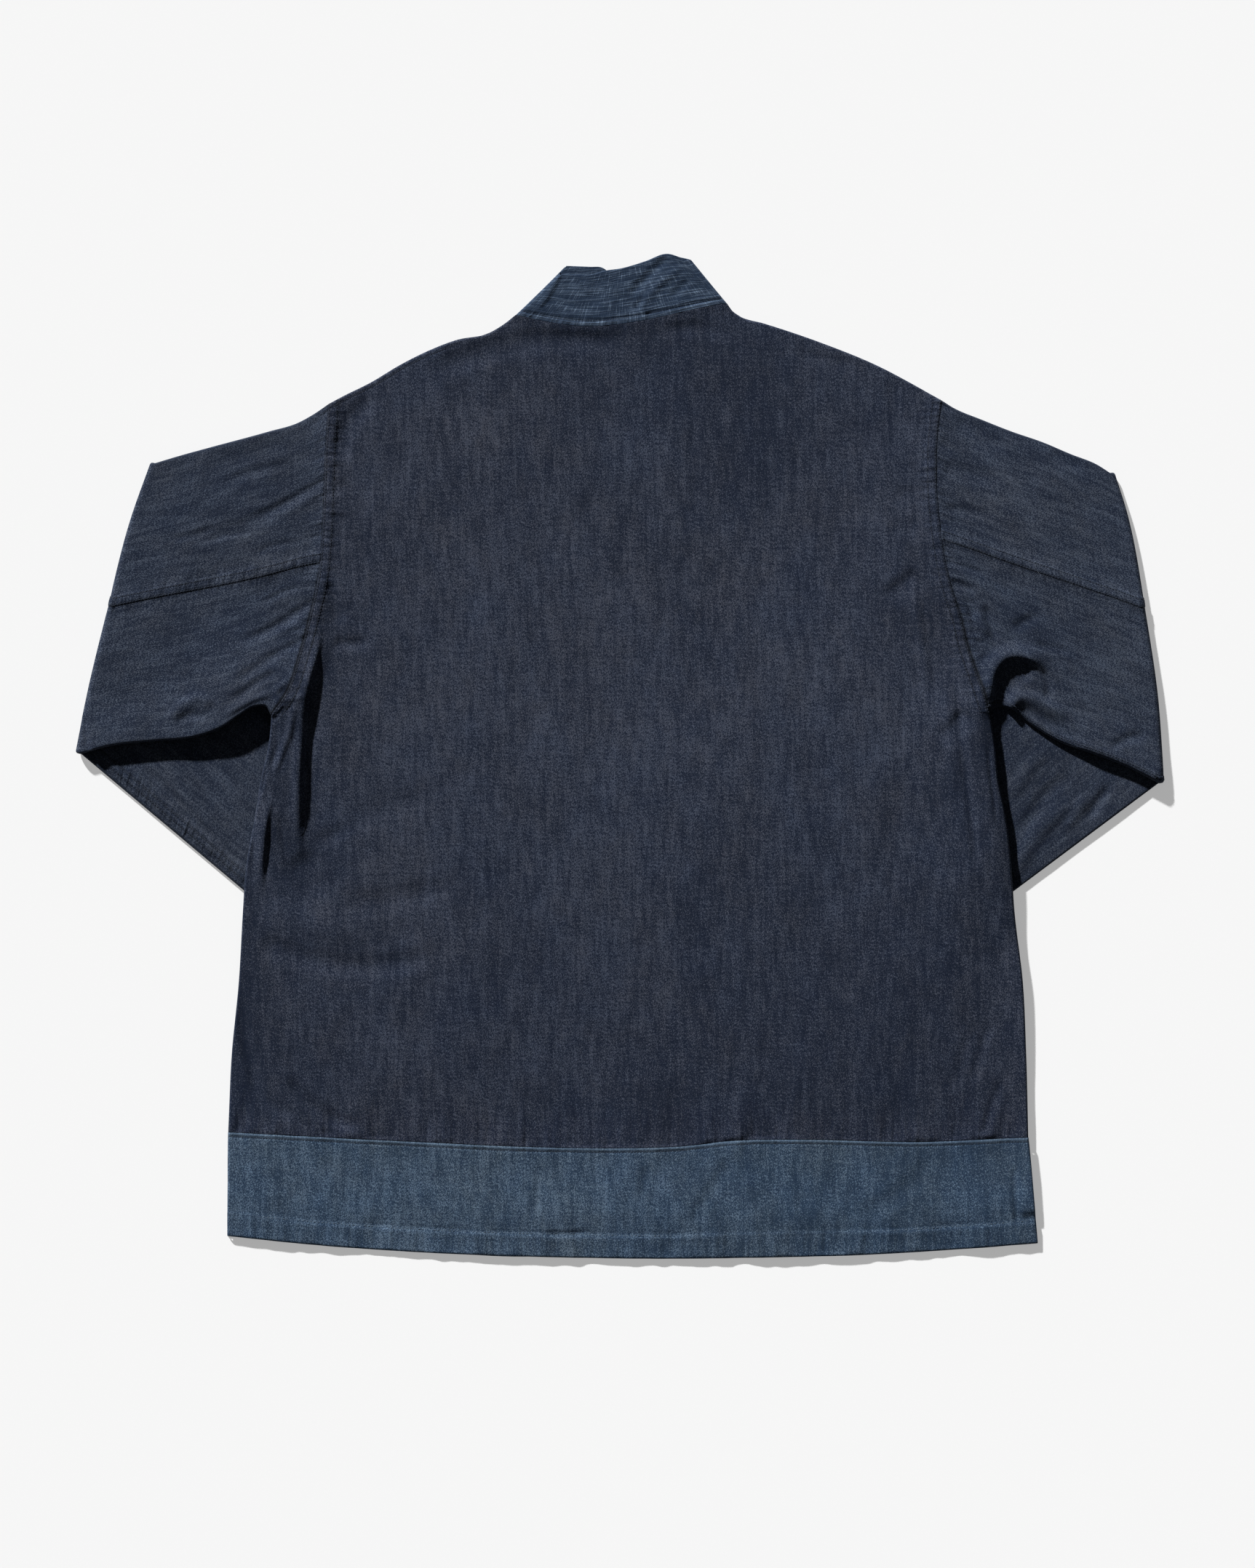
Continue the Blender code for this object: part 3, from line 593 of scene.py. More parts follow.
lower, room, _ = layers(np.array([[[0.0, 0.0], [-290.0, -60.0]]]))
print("lower layer at the middle and over a forearm:", np.round(lower, 2).tolist())
print("room between the layers there:", np.round(room, 2).tolist())

# %% [markdown]
# ## Felled seams
#
# The armholes and sleeve seams are felled: the turnings are folded into each other and stitched
# flat with two rows, which makes a raised strip about 8 mm wide on one side of the seam line.
# The stitches draw the strip down at both rows, and the thread shrinks in the wash, so the strip
# puckers along its length. The puckers reach a little way into the cloth beside it.

# %% The section of a felled seam
FELL_WIDTH = 9.0
FELL_HEIGHT = 0.62
FELL_ROWS = (1.4, 7.6)
FELL_SLOPES = (0.9, 1.2)
FELL_PUCKER = 0.35
FELL_PUCKER_PITCH = 15.0
PUCKER_REACH = 5.0
ROW_DIP = 0.22
ROW_HALF = 1.1
DITCH_HALF = 0.9
# The armhole ditches take more painted shade towards the armpit.
ARMPIT_SHADE_EXTRA = 0.85
ARMPIT_SHADE_BEGINS = 160.0
ARMPIT_SHADE_GROWS = 60.0


def felled(inside, along, seed):
    """Height of a felled seam at a distance inside its line, which is less than 0 beyond it."""
    strip = smooth_step(inside / FELL_SLOPES[0])
    strip = strip * smooth_step((FELL_WIDTH - inside) / FELL_SLOPES[1])
    dips = sum(hump(inside - row, ROW_HALF) for row in FELL_ROWS)
    puckers = FELL_PUCKER * uneven(along, FELL_PUCKER_PITCH, seed) * puckered(inside)
    return FELL_HEIGHT * strip - ROW_DIP * dips + puckers


def puckered(inside):
    """How much a felled seam puckers the cloth, from 0 to 1, on it and a little beyond."""
    beyond = np.clip(np.maximum(inside - FELL_WIDTH, -inside), 0.0, None)
    return dying(beyond, PUCKER_REACH)


def ditch(inside, lines=(0.0,), half=DITCH_HALF):
    """Painted shade and kept dye of a seam line or stitched row, 0 to 1, at a distance inside the
    seam.
    """
    depth = np.zeros(np.shape(inside))
    for line in lines:
        depth = np.maximum(depth, np.clip(1.0 - np.abs(inside - line) / half, 0.0, None))
    return depth


def armpit_shade_gain(plan):
    """How much more painted shade an armhole seam takes towards the armpit."""
    return 1.0 + ARMPIT_SHADE_EXTRA * smooth_step((ARMPIT_SHADE_BEGINS - plan[..., 1]) / ARMPIT_SHADE_GROWS)


print("a felled seam is", FELL_WIDTH, "mm wide with stitches at", FELL_ROWS)

# %% [markdown]
# ## From points to a cloth
#
# Each panel's grid of points becomes a mesh. It carries its own map in metres across and along
# the thread, so the weave follows the cloth round folds and bends. It also carries what the
# cloth materials read at each point: the ditch of a seam, where the dye stays darker and the
# shade of the groove is painted, a pale line on a rubbed ridge that is also a painted highlight,
# how far the dye has washed out together with painted light and shade, and how much the cloth
# puckers across and along its warp.

# %% Make a panel from its points
# The marks carry painted shade in the ditches, a painted highlight on rubbed ridges, and painted
# light and shade among the dye patches.
MARKS = ("ditch", "wear", "fade", "puckers_across", "puckers_along")

FADES_AND_SHADES = [
    # Where the dye has washed out (above 0) or stayed dark (below 0), and where light and shade
    # are painted beside the folds and their shadows, paler above 0 and darker below 0: the patch's
    # middle, its half width and half height, and the amount.
    (20, 60, 170, 150, 0.085), (-70, -60, 90, 260, 0.025), (-30, 205, 40, 60, 0.04),
    (90, 285, 60, 60, -0.15), (50, 345, 110, 24, -0.1), (66, 190, 34, 70, -0.05),
    (68, -70, 24, 240, -0.04), (60, -300, 40, 100, -0.08), (170, -260, 90, 150, -0.1),
    (262, -235, 60, 110, -0.05), (205, 15, 35, 40, 0.05), (240, -45, 40, 45, -0.07),
    (286, -20, 44, 90, -0.1), (-310, -235, 34, 80, -0.13), (-253, -95, 30, 36, -0.1),
    (-325, 85, 75, 42, -0.12), (325, 60, 36, 60, -0.09), (395, 170, 50, 60, 0.06),
    (350, 165, 60, 80, 0.03), (-45, 335, 60, 20, -0.12), (-80, 308, 80, 26, -0.06),
    (245, 165, 26, 70, -0.06), (303, 15, 14, 60, -0.12), (345, 85, 36, 34, -0.07),
    (430, 85, 36, 50, 0.05), (-335, 52, 70, 34, -0.07), (-274, 10, 14, 60, -0.1),
    (-271, -85, 18, 50, -0.1), (-236, -95, 22, 40, -0.06), (-300, -240, 40, 50, -0.05),
    (-306, -205, 9, 90, -0.2), (-215, -190, 60, 50, -0.05), (36, -275, 34, 50, -0.09),
    (120, -225, 90, 60, -0.05), (160, 105, 90, 50, -0.04), (226, 5, 26, 34, 0.06),
    (336, -300, 16, 60, -0.06), (370, -60, 40, 40, -0.035), (-330, -50, 40, 40, 0.04),
    (295, 5, 14, 50, -0.09), (275, -45, 20, 40, -0.08), (-240, -85, 16, 30, -0.06),
    (233, -270, 14, 40, -0.1), (25, -290, 24, 30, -0.1), (240, 138, 20, 24, -0.06),
    (95, 325, 24, 24, -0.1), (-271, -95, 14, 40, -0.06), (-272, 40, 12, 40, -0.07),
    (-238, 92, 14, 30, -0.07), (-160, 75, 24, 40, -0.06), (420, 75, 40, 24, 0.05),
    (269, -22, 16, 26, -0.09), (-235, 112, 14, 20, -0.08), (341, 108, 18, 18, -0.09),
    (303, 88, 12, 16, -0.06), (233, -280, 14, 26, -0.08), (17, -295, 18, 18, -0.07),
    (215, 0, 34, 26, 0.05), (412, 80, 20, 20, 0.04), (385, 30, 34, 24, 0.06),
]


def faded_and_shaded(plan):
    """How much paler the cloth is painted at plan points, from washed-out dye and painted light and
    shade.
    """
    paler = np.zeros(plan.shape[:-1])
    for x, y, half_width, half_height, amount in FADES_AND_SHADES:
        aside = ((plan[..., 0] - x) / half_width) ** 2
        above = ((plan[..., 1] - y) / half_height) ** 2
        paler += amount * np.exp(-aside - above)
    return paler


def cloth_panel(name, points, grain, marks=None, thickness=CLOTH, flip=False):
    """A sheet of cloth through a grid of points in millimetres, with its thread map and marks."""
    rows, columns = points.shape[:2]
    corner = np.arange(rows * columns).reshape(rows, columns)
    faces = np.stack([corner[:-1, :-1], corner[:-1, 1:], corner[1:, 1:], corner[1:, :-1]], axis=-1)
    faces = faces.reshape(-1, 4)
    if flip:
        faces = faces[:, ::-1]
    placed = (points - np.array([*MIDDLE, 0.0])) * MM
    mesh = bpy.data.meshes.new(name)
    mesh.from_pydata(placed.reshape(-1, 3), [], faces.tolist())
    threads = mesh.uv_layers.new(name="thread")
    loops = faces.reshape(-1)
    threads.data.foreach_set("uv", (grain.reshape(-1, 2)[loops] * MM).astype(np.float32).ravel())
    for label in MARKS:
        values = (marks or {}).get(label, 0.0)
        attribute = mesh.attributes.new(label, "FLOAT", "POINT")
        held = np.broadcast_to(values, (rows, columns)).astype(np.float32)
        attribute.data.foreach_set("value", held.ravel())
    mesh.shade_smooth()
    panel = add_object(name, mesh)
    wall = panel.modifiers.new("wall", "SOLIDIFY")
    wall.thickness = thickness * MM
    wall.offset = -1.0
    print(name, rows, "by", columns, "points")
    return panel


# %% [markdown]
# ## The back
#
# The back is one panel from the band up to the neck and the shoulders. Its sides roll over to
# meet the fronts, its armholes carry felled seams, and the band's seam gathers it slightly, so
# short folds stand over the band.

# %% Plan of the body
BODY_NECK = (0.2713, 0.7287)
ARMPIT_SHARE = 0.57
BODY_WIDTH = 600.0
BODY_LENGTH = (355.0, 275.0)
BACK_SPACING = (0.5, 3.7, 1.055)
ARMPIT_SPACING = 3
CURVE_PIECES = 8


def body_columns(begin, widest, growth=GROWTH):
    """Shares across the body, with one at each end of the neck."""
    shares = spread(BODY_WIDTH, begin, begin, widest, growth)
    for stop in BODY_NECK:
        shares[np.argmin(np.abs(shares - stop))] = stop
    return shares


def body_plan(begin, widest, growth=GROWTH):
    """The plan grid of the back and the fronts."""
    columns = body_columns(begin, widest, growth)
    at_armpit = begin * ARMPIT_SPACING
    low_rows = spread(BODY_LENGTH[0], begin, at_armpit, widest) * ARMPIT_SHARE
    high_rows = spread(BODY_LENGTH[1], at_armpit, begin, widest) * (1.0 - ARMPIT_SHARE)
    rows = np.concatenate([low_rows, ARMPIT_SHARE + high_rows[1:]])
    stops = (0.0, ARMPIT_SHARE, 1.0)
    left = joined([LEFT_SIDE, LEFT_ARMHOLE[::-1]], stops, rows)
    right = joined([RIGHT_SIDE, RIGHT_ARMHOLE[::-1]], stops, rows)
    top = joined([LEFT_SHOULDER, BACK_NECK, RIGHT_SHOULDER], (0.0, *BODY_NECK, 1.0), columns)
    return patch(left, right, curve(BAND_SEAM, columns), top, columns, rows)


back_plan = body_plan(*BACK_SPACING)
print("the back's plan is", back_plan.shape[0], "by", back_plan.shape[1], "points")

# %% [markdown]
# ## The back's edges and gathers
#
# Where the cloth turns over at a side or a shoulder it shows a round edge, not a cut one. At
# the band the opposite happens: the seam's turnings and its shrunk thread draw the back up, so
# a row of short slanted folds stands over it. Three widths of folds are mixed, since an even
# row would look like pleats.

# %% Edges and gathers
FREE_EDGES = [LEFT_SIDE, RIGHT_SIDE, LEFT_SHOULDER, RIGHT_SHOULDER, LEFT_BAND_END, RIGHT_BAND_END]
GATHERS = [(0.9, 9.0, 31, 26.0), (0.35, 4.5, 32, 10.0), (1.3, 26.0, 33, 50.0)]
GATHER_LEAN = 0.22
GATHER_DIP = 1.1
GATHER_BEGINS = 1.0
GATHER_EASE = 5.0


def from_curve(plan, table):
    """Distance in plan to a table's smooth curve, and the place along it."""
    pieces = CURVE_PIECES * (len(table) - 1)
    return distance_to(plan, curve(table, np.linspace(0.0, 1.0, pieces + 1)))


def rounded(distance, radius):
    """A round edge: 0 at the edge, and in a quarter circle up to 1 at its radius."""
    return np.sqrt(1.0 - np.clip(1.0 - distance / radius, 0.0, 1.0) ** 2)


def upper_surface(plan):
    """The upper layer over the body: pushed plan points, and heights with rolled free edges."""
    lower, room, sideways = layers(plan)
    away = np.min([from_curve(plan, edge)[0] for edge in FREE_EDGES], axis=0)
    room = room - HEM_DROP * (1.0 - smooth_step(from_curve(plan, HEM)[0] / HEM_EASE))
    return plan + sideways, lower + EDGE_GAP + (room - EDGE_GAP) * rounded(away, EDGE_ROLL)


def gathered(plan):
    """Short folds over the band, from the turnings and the thread drawing up."""
    away, along = from_curve(plan, BAND_SEAM)
    slanted = along - GATHER_LEAN * away
    folds = sum(
        height * (uneven(slanted, pitch, seed) * dying(away, reach))
        for height, pitch, seed, reach in GATHERS
    )
    return np.maximum(folds * smooth_step((away + GATHER_BEGINS) / GATHER_EASE), -GATHER_DIP)


print("the gathers stand up to", round(gathered(back_plan).max(), 2), "mm over the band")

# %% [markdown]
# ## Sewing the back
#
# The seams come last, on top of the folds, because the folds were there first when the jacket
# was pressed: felled armholes, one row at the left shoulder, and the neck drawn to one height
# so that the collar can sit on it. The same function later gives the stitches their places.

# %% The back
SHOULDER_ROW = 4.0
SHOULDER_SEWN = 125.0
SHOULDER_EASE = 10.0
ARMPIT_EASE = 3.0
NECK_HEIGHT = 4.7
NECK_REACH = 7.0
NECK_DITCH = 0.5
BAND_PUCKERS = 20.0
NECK_PUCKERS = 8.0
NECK_PUCKER_SHARE = 0.6
# Painted shade: the back is darker near the band seam and on the lit rim of its rolled sides.
BAND_PAINTED_SHADE = 0.08
BAND_PAINTED_SHADE_REACH = 30.0
SIDE_PAINTED_SHADE = 0.2
SIDE_PAINTED_SHADE_REACH = 2.0


def body_top(plan):
    """The finished outside of the back over a plan: pushed plan points, heights and marks."""
    ground, height = upper_surface(plan)
    height = height + gathered(plan)
    lines, puckers = np.zeros(height.shape), np.zeros(height.shape)
    for seed, armhole in ((41, LEFT_ARMHOLE), (51, RIGHT_ARMHOLE)):
        inside, along = from_curve(plan, armhole)
        past_armpit = np.clip(armhole[-1][1] - plan[..., 1], 0.0, None)
        sewn = dying(past_armpit, ARMPIT_EASE)
        height = height + felled(inside, along, seed) * sewn
        # The armhole ditches and rows take painted shade, deeper towards the armpit.
        lines = np.maximum(lines, ditch(inside, (0.0, *FELL_ROWS)) * sewn * armpit_shade_gain(plan))
        puckers = np.maximum(puckers, puckered(inside) * sewn)
    shoulder, _ = from_curve(plan, LEFT_SHOULDER)
    sewn = smooth_step((-plan[..., 0] - SHOULDER_SEWN) / SHOULDER_EASE)
    height = height - ROW_DIP * hump(shoulder - SHOULDER_ROW, ROW_HALF) * sewn
    neck, _ = from_curve(plan, BACK_NECK)
    height = height + (NECK_HEIGHT - height) * spot(neck, NECK_REACH)
    seam, _ = from_curve(plan, BAND_SEAM)
    # The shoulder, neck and band seams take painted shade in their ditches.
    at_shoulder = ditch(shoulder, (SHOULDER_ROW,)) * sewn
    for extra in (NECK_DITCH * ditch(neck), ditch(seam), at_shoulder):
        lines = np.maximum(lines, extra)
    sides = np.min([from_curve(plan, side)[0] for side in (LEFT_SIDE, RIGHT_SIDE)], axis=0)
    # Painted shade along the band seam and on the rolled sides' lit rim, added to the dye patches
    # with their painted light and shade.
    painted_band_shade = BAND_PAINTED_SHADE * dying(seam, BAND_PAINTED_SHADE_REACH)
    fade = faded_and_shaded(plan) - painted_band_shade - SIDE_PAINTED_SHADE * spot(sides, SIDE_PAINTED_SHADE_REACH)
    along_warp = dying(seam, BAND_PUCKERS) + NECK_PUCKER_SHARE * dying(neck, NECK_PUCKERS)
    marks = {"ditch": lines, "fade": fade, "puckers_across": puckers, "puckers_along": along_warp}
    return ground, height, marks


def with_height(plan, height):
    """Plan points and heights as one array of points."""
    return np.concatenate([plan, height[..., None]], axis=-1)


back_ground, back_height, back_marks = body_top(back_plan)
back = cloth_panel("back_cloth", with_height(back_ground, back_height), back_plan, back_marks)
print("the back rises to", round(back_height.max(), 1), "mm")

# %% [markdown]
# ## The fronts
#
# The fronts lie face down on the table and over the folded forearms. Only their edges and their
# undersides can be seen, so their grid is coarse and plain.

# %% The fronts
CENTRE_GAP = 0.3
FRONT_SPACING = (2.5, 8.0)


def halves(plan):
    """The left and the right part of a plan grid, a seam gap apart at the centre front."""
    centre = plan.shape[1] // 2
    left = plan[:, :centre + 1].copy()
    right = plan[:, centre:].copy()
    left[:, -1, 0] -= CENTRE_GAP / 2
    right[:, 0, 0] += CENTRE_GAP / 2
    return left, right


def front_panels(names, plan):
    """Plain panels on the lower layer, from the left and the right part of a plan grid."""
    return [
        cloth_panel(name, with_height(half, layers(half)[0]), half, flip=True)
        for name, half in zip(names, halves(plan))
    ]


fronts = front_panels(("front_left_cloth", "front_right_cloth"), body_plan(*FRONT_SPACING))

# %% [markdown]
# ## Hem bands
#
# The band is a lighter cloth sewn over the lower edge of the body with one edge row, and turned
# up at the hem. The turned hem is two layers thick, and its feed twisted a little as it was
# sewn: that is why a washed hem shows slanted ropes. They come from uneven ripples across the
# turn, which fade into the band above the stitches.

# %% Bands along the hem
HEM_TURN = 19.5
TURN_THICKNESS = 0.7
TURN_EASE = 1.6
BAND_LAP = 1.2
LAP_EASE = 0.6
BAND_ROW = 3.2
HEM_DIP = 0.42
HEM_DIP_HALF = 1.2
LAP_DIP = 0.4
LAP_DIP_HALF = 1.0
EDGE_DROP = 1.7
BAND_GATHER = 0.3
RIPPLES = [(0.7, 23.0, 63), (0.3, 11.0, 64)]
RIPPLE_LEAN = 0.25
ROPES = [(0.3, 7.0, 61), (-0.15, 13.0, 62)]
ROPE_HEIGHT = 0.6
ROPE_STEEP = 0.9
ROPE_RELIEF = 0.85
ROPE_START = 0.35
ROPE_RISE = 8.0
ROPE_FALL = 5.0

BAND_FOLDS = [
    Fold([(58, -390), (66, -372), (82, -348), (94, -328)], 8, 9, -0.7, 12, 12),
    Fold([(14, -372), (20, -352), (22, -334)], 6, 6, -0.6, 12, 12),
    Fold([(-72, -380), (-66, -356), (-64, -332)], 7, 7, -0.6, 12, 12),
    Fold([(196, -382), (222, -366), (246, -346), (256, -328)], 12, 12, -0.8, 14, 14),
    Fold([(150, -378), (152, -352), (156, -330)], 8, 8, -0.5, 14, 14),
    Fold([(-250, -372), (-244, -350), (-240, -326)], 10, 10, -0.5, 14, 14),
    Fold([(328, -400), (326, -366), (325, -334)], 4, 5, -1.6, 20, 12),
    Fold([(-66, -393), (-44, -393), (-22, -391)], 2.4, 3.4, -1.1, 10, 10),
]


def band_grid(columns, shares):
    """Plan of the bands at shares up from the hem, with the distances from the hem and along it."""
    seam = curve(BAND_SEAM, columns)
    hem = curve(HEM, columns)
    plan = hem[None] + (seam - hem)[None] * shares[..., None]
    from_hem = shares * np.linalg.norm(seam - hem, axis=1)[None]
    return plan, from_hem, np.broadcast_to(walked(hem), plan.shape[:-1])


def hem_ropes(from_hem, along):
    """The slanted ropes of a turned hem, and how far they reach up the band."""
    ropes = sum(
        ROPE_HEIGHT * uneven(along + slant * from_hem, pitch, seed, ROPE_STEEP)
        for slant, pitch, seed in ROPES
    )
    on_turn = smooth_step(ROPE_START + from_hem / ROPE_RISE)
    above_turn = dying(from_hem - HEM_TURN, ROPE_FALL)
    return ropes, np.where(from_hem < HEM_TURN, on_turn, above_turn)


print(len(BAND_FOLDS), "folds on the band, and a hem turned up by", HEM_TURN, "mm")

# %% [markdown]
# ## The band's rubbing, dye and painted highlight
#
# A pale line runs along the band's stitched edge, on the ridge of four layers that rubs there;
# it is also a painted highlight. The ropes of the hem are rubbed on a smaller scale: their
# crests pale and their hollows keep the dye. The band is also dyed a little deeper towards the
# right.

# %% The back's band
ROPE_SHADE = 0.09
TURN_SHADE = 0.03
BAND_SHADES = [(0.10, -30.0, 70.0), (0.10, 190.0, 60.0)]
HEM_DITCH = 0.5
LAP_WEAR_AND_HIGHLIGHT = 0.8
LAP_PALE_MIDDLE = 1.5
LAP_PALE_HALF = 1.8
LAP_PALE_EASE = 1.6
TURN_PUCKERS = 0.45
WALL_PUCKERS = (0.4, 40.0)
LAP_PUCKERS = (0.4, 9.0)
BAND_HEIGHT = 90.0


def band_marks(plan, from_hem, below_seam, turn, ropes):
    """Ditches with painted shade, a rubbed pale line with a painted highlight, dye and puckers of
    the band.
    """
    at_hem = HEM_DITCH * ditch(from_hem, (HEM_TURN - TURN_EASE / 2,))
    on_lap = LAP_PALE_HALF - np.abs(below_seam - LAP_PALE_MIDDLE)
    fade = ROPE_SHADE * turn * np.clip(ropes, -1.0, 1.0) - TURN_SHADE * turn
    for amount, begin, length in BAND_SHADES:
        fade = fade - amount * smooth_step((plan[..., 0] - begin) / length)
    wall, lap = (share * dying(away, reach) for away, (share, reach) in (
        (from_hem, WALL_PUCKERS), (below_seam, LAP_PUCKERS),
    ))
    return {
        # Painted shade in the ditches of the band's seam, its row and the hem turn.
        "ditch": np.maximum(ditch(below_seam, (0.0, BAND_ROW)), at_hem),
        # The pale line on the lap is rubbed cloth and a painted highlight.
        "wear": LAP_WEAR_AND_HIGHLIGHT * smooth_step(on_lap / LAP_PALE_EASE),
        "fade": fade,
        "puckers_along": np.maximum(TURN_PUCKERS * turn, wall) + lap,
    }


def band_top(plan, from_hem, along):
    """The finished outside of the band: pushed plan points, heights and marks."""
    ground, height = upper_surface(plan)
    _, pressed, _ = press(plan, BAND_FOLDS)
    below_seam, along_seam = from_curve(plan, BAND_SEAM)
    turn = smooth_step((HEM_TURN + TURN_EASE / 2 - from_hem) / TURN_EASE)
    ropes, reach = hem_ropes(from_hem, along)
    slanted = along_seam - RIPPLE_LEAN * below_seam
    ripples = sum(rise * uneven(slanted, pitch, seed) for rise, pitch, seed in RIPPLES)
    height = height + pressed + BAND_GATHER * gathered(plan) + ripples
    height = height + TURN_THICKNESS * turn + ROPE_RELIEF * ropes * reach
    height = height + BAND_LAP * smooth_step(below_seam / LAP_EASE)
    height = height - HEM_DIP * hump(from_hem - HEM_TURN, HEM_DIP_HALF)
    height = height - LAP_DIP * hump(below_seam - BAND_ROW, LAP_DIP_HALF)
    height = height - EDGE_DROP * (1.0 - rounded(from_hem, EDGE_ROLL))
    return ground, height, band_marks(plan, from_hem, below_seam, turn, ropes)


band_shares = spread(BAND_HEIGHT, 0.5, 0.4, 2.2)[:, None]
band_plan, from_hem, along_hem = band_grid(body_columns(0.5, 1.8), band_shares)
band_ground, band_height, marks = band_top(band_plan, from_hem, along_hem)
band_points = with_height(band_ground, band_height)
band = cloth_panel("hem_band_back_cloth", band_points, band_plan, marks)

# %% [markdown]
# ## Front bands
#
# The front bands lie hidden under the back's band. At one place the left one looks out below
# it by half a millimetre, as layers of cloth do when they are laid by hand.

# %% The front bands
PEEK = 0.6
PEEK_PLACE = -96.0
PEEK_HALF = 26.0
PEEK_DEPTH = 30.0

front_shares = spread(BAND_HEIGHT, 2.0, 2.0, 8.0)[:, None]
front_plan, front_from_hem, _ = band_grid(body_columns(*FRONT_SPACING), front_shares)
peek = PEEK * hump(front_plan[..., 0] - PEEK_PLACE, PEEK_HALF)
front_plan[..., 1] -= peek * smooth_step(1.0 - front_from_hem / PEEK_DEPTH)
front_bands = front_panels(
    ("hem_band_front_left_cloth", "hem_band_front_right_cloth"), front_plan
)

# %% [markdown]
# ## Sleeves
#
# A folded sleeve is a flattened tube that turns back on itself at the elbow. Steps round the
# tube run from 0 to 4: down the back, round the lower edge, up the front, round the top edge.
# The same steps serve the upper arm, the bend and the forearm, which comes out upside down.
# Each sleeve is cut in two along its back seam and its underarm seam, as the pattern is.

# %% Points of a sleeve
EDGE_ROUND = 2.2
EDGE_FADE = 3
EDGE_STEPS = 9
EDGE_STEP = 2.0
SEAM_STEP = 0.45
RING_GROWTH = 1.09
UPPER_ARM_STEP = 2.5
BEND_STEPS = 9
BEND_RADIUS = 4.0
FOREARM_STEP = 4.6
FOREARM_UNREST = 0.35
TUCK = 0.8
FOLD_PUFF = (0.6, 1.6)
FOLD_FROM = 0.25


def ring_steps(start, end, width):
    """Steps round the tube from one seam to the next, close together beside both seams."""
    stops = [start, *range(int(start) + 1, ceil(end)), end]
    steps = [start]
    for first, last in zip(stops[:-1], stops[1:]):
        if int(first + 1e-6) % 2:
            shares = np.linspace(0.0, 1.0, max(2, ceil(EDGE_STEPS * (last - first))) + 1)
        else:
            begin = SEAM_STEP if first == start else EDGE_STEP
            finish = SEAM_STEP if last == end else EDGE_STEP
            across = (last - first) * width
            shares = spread(across, begin, finish, UPPER_ARM_STEP, RING_GROWTH)
        steps.extend(first + shares[1:] * (last - first))
    return np.array(steps)


def ring_place(round_at, edge):
    """Share across the sleeve, from its top edge, and rise from -1 to 1 at each step."""
    zone = np.floor(round_at % 4.0)
    part = round_at % 1.0
    angle = (0.5 - part) * pi
    flat = 1.0 - edge - edge
    turning = edge * (1.0 - np.cos(angle))
    sides = [zone == 0, zone == 1, zone == 2]
    across = [edge + part * flat, 1.0 - turning, edge + (1.0 - part) * flat]
    rise = np.select(sides, [1.0, np.sin(angle), -1.0], -np.sin(angle))
    return np.select(sides, across, turning), rise


def sleeve_width(sleeve):
    """Width of a flattened sleeve at its fold."""
    return length_of([sleeve.fold[0], sleeve.fold[-1]])


def fold_lift(share):
    """How far the fold at the elbow holds the upper arm up, from its top to its lower corner."""
    return FOREARM_LIFT + FOLD_PUFF[0] + (FOLD_PUFF[1] - FOLD_PUFF[0]) * smooth_step(share)


def bow(edge, along):
    """How far a curved edge stands off the straight line between its ends, at a share."""
    straight = (1.0 - along) * np.array(edge[0]) + along * np.array(edge[-1])
    return point_at(edge, along) - straight


def sleeve_axis(sleeve):
    """The line that a sleeve bends round at its fold, and the way out from it."""
    chord = np.array(sleeve.fold[-1], float) - np.array(sleeve.fold[0], float)
    outward = np.array([chord[1], -chord[0]]) / np.linalg.norm(chord)
    if np.dot(outward, sleeve.fold[0]) < 0:
        outward = -outward
    insets = fold_lift(np.linspace(0.0, 1.0, len(sleeve.fold))) / 2 + FOREARM_DEPTH / 2
    return [tuple(np.array(p) - outward * inset) for p, inset in zip(sleeve.fold, insets)], outward


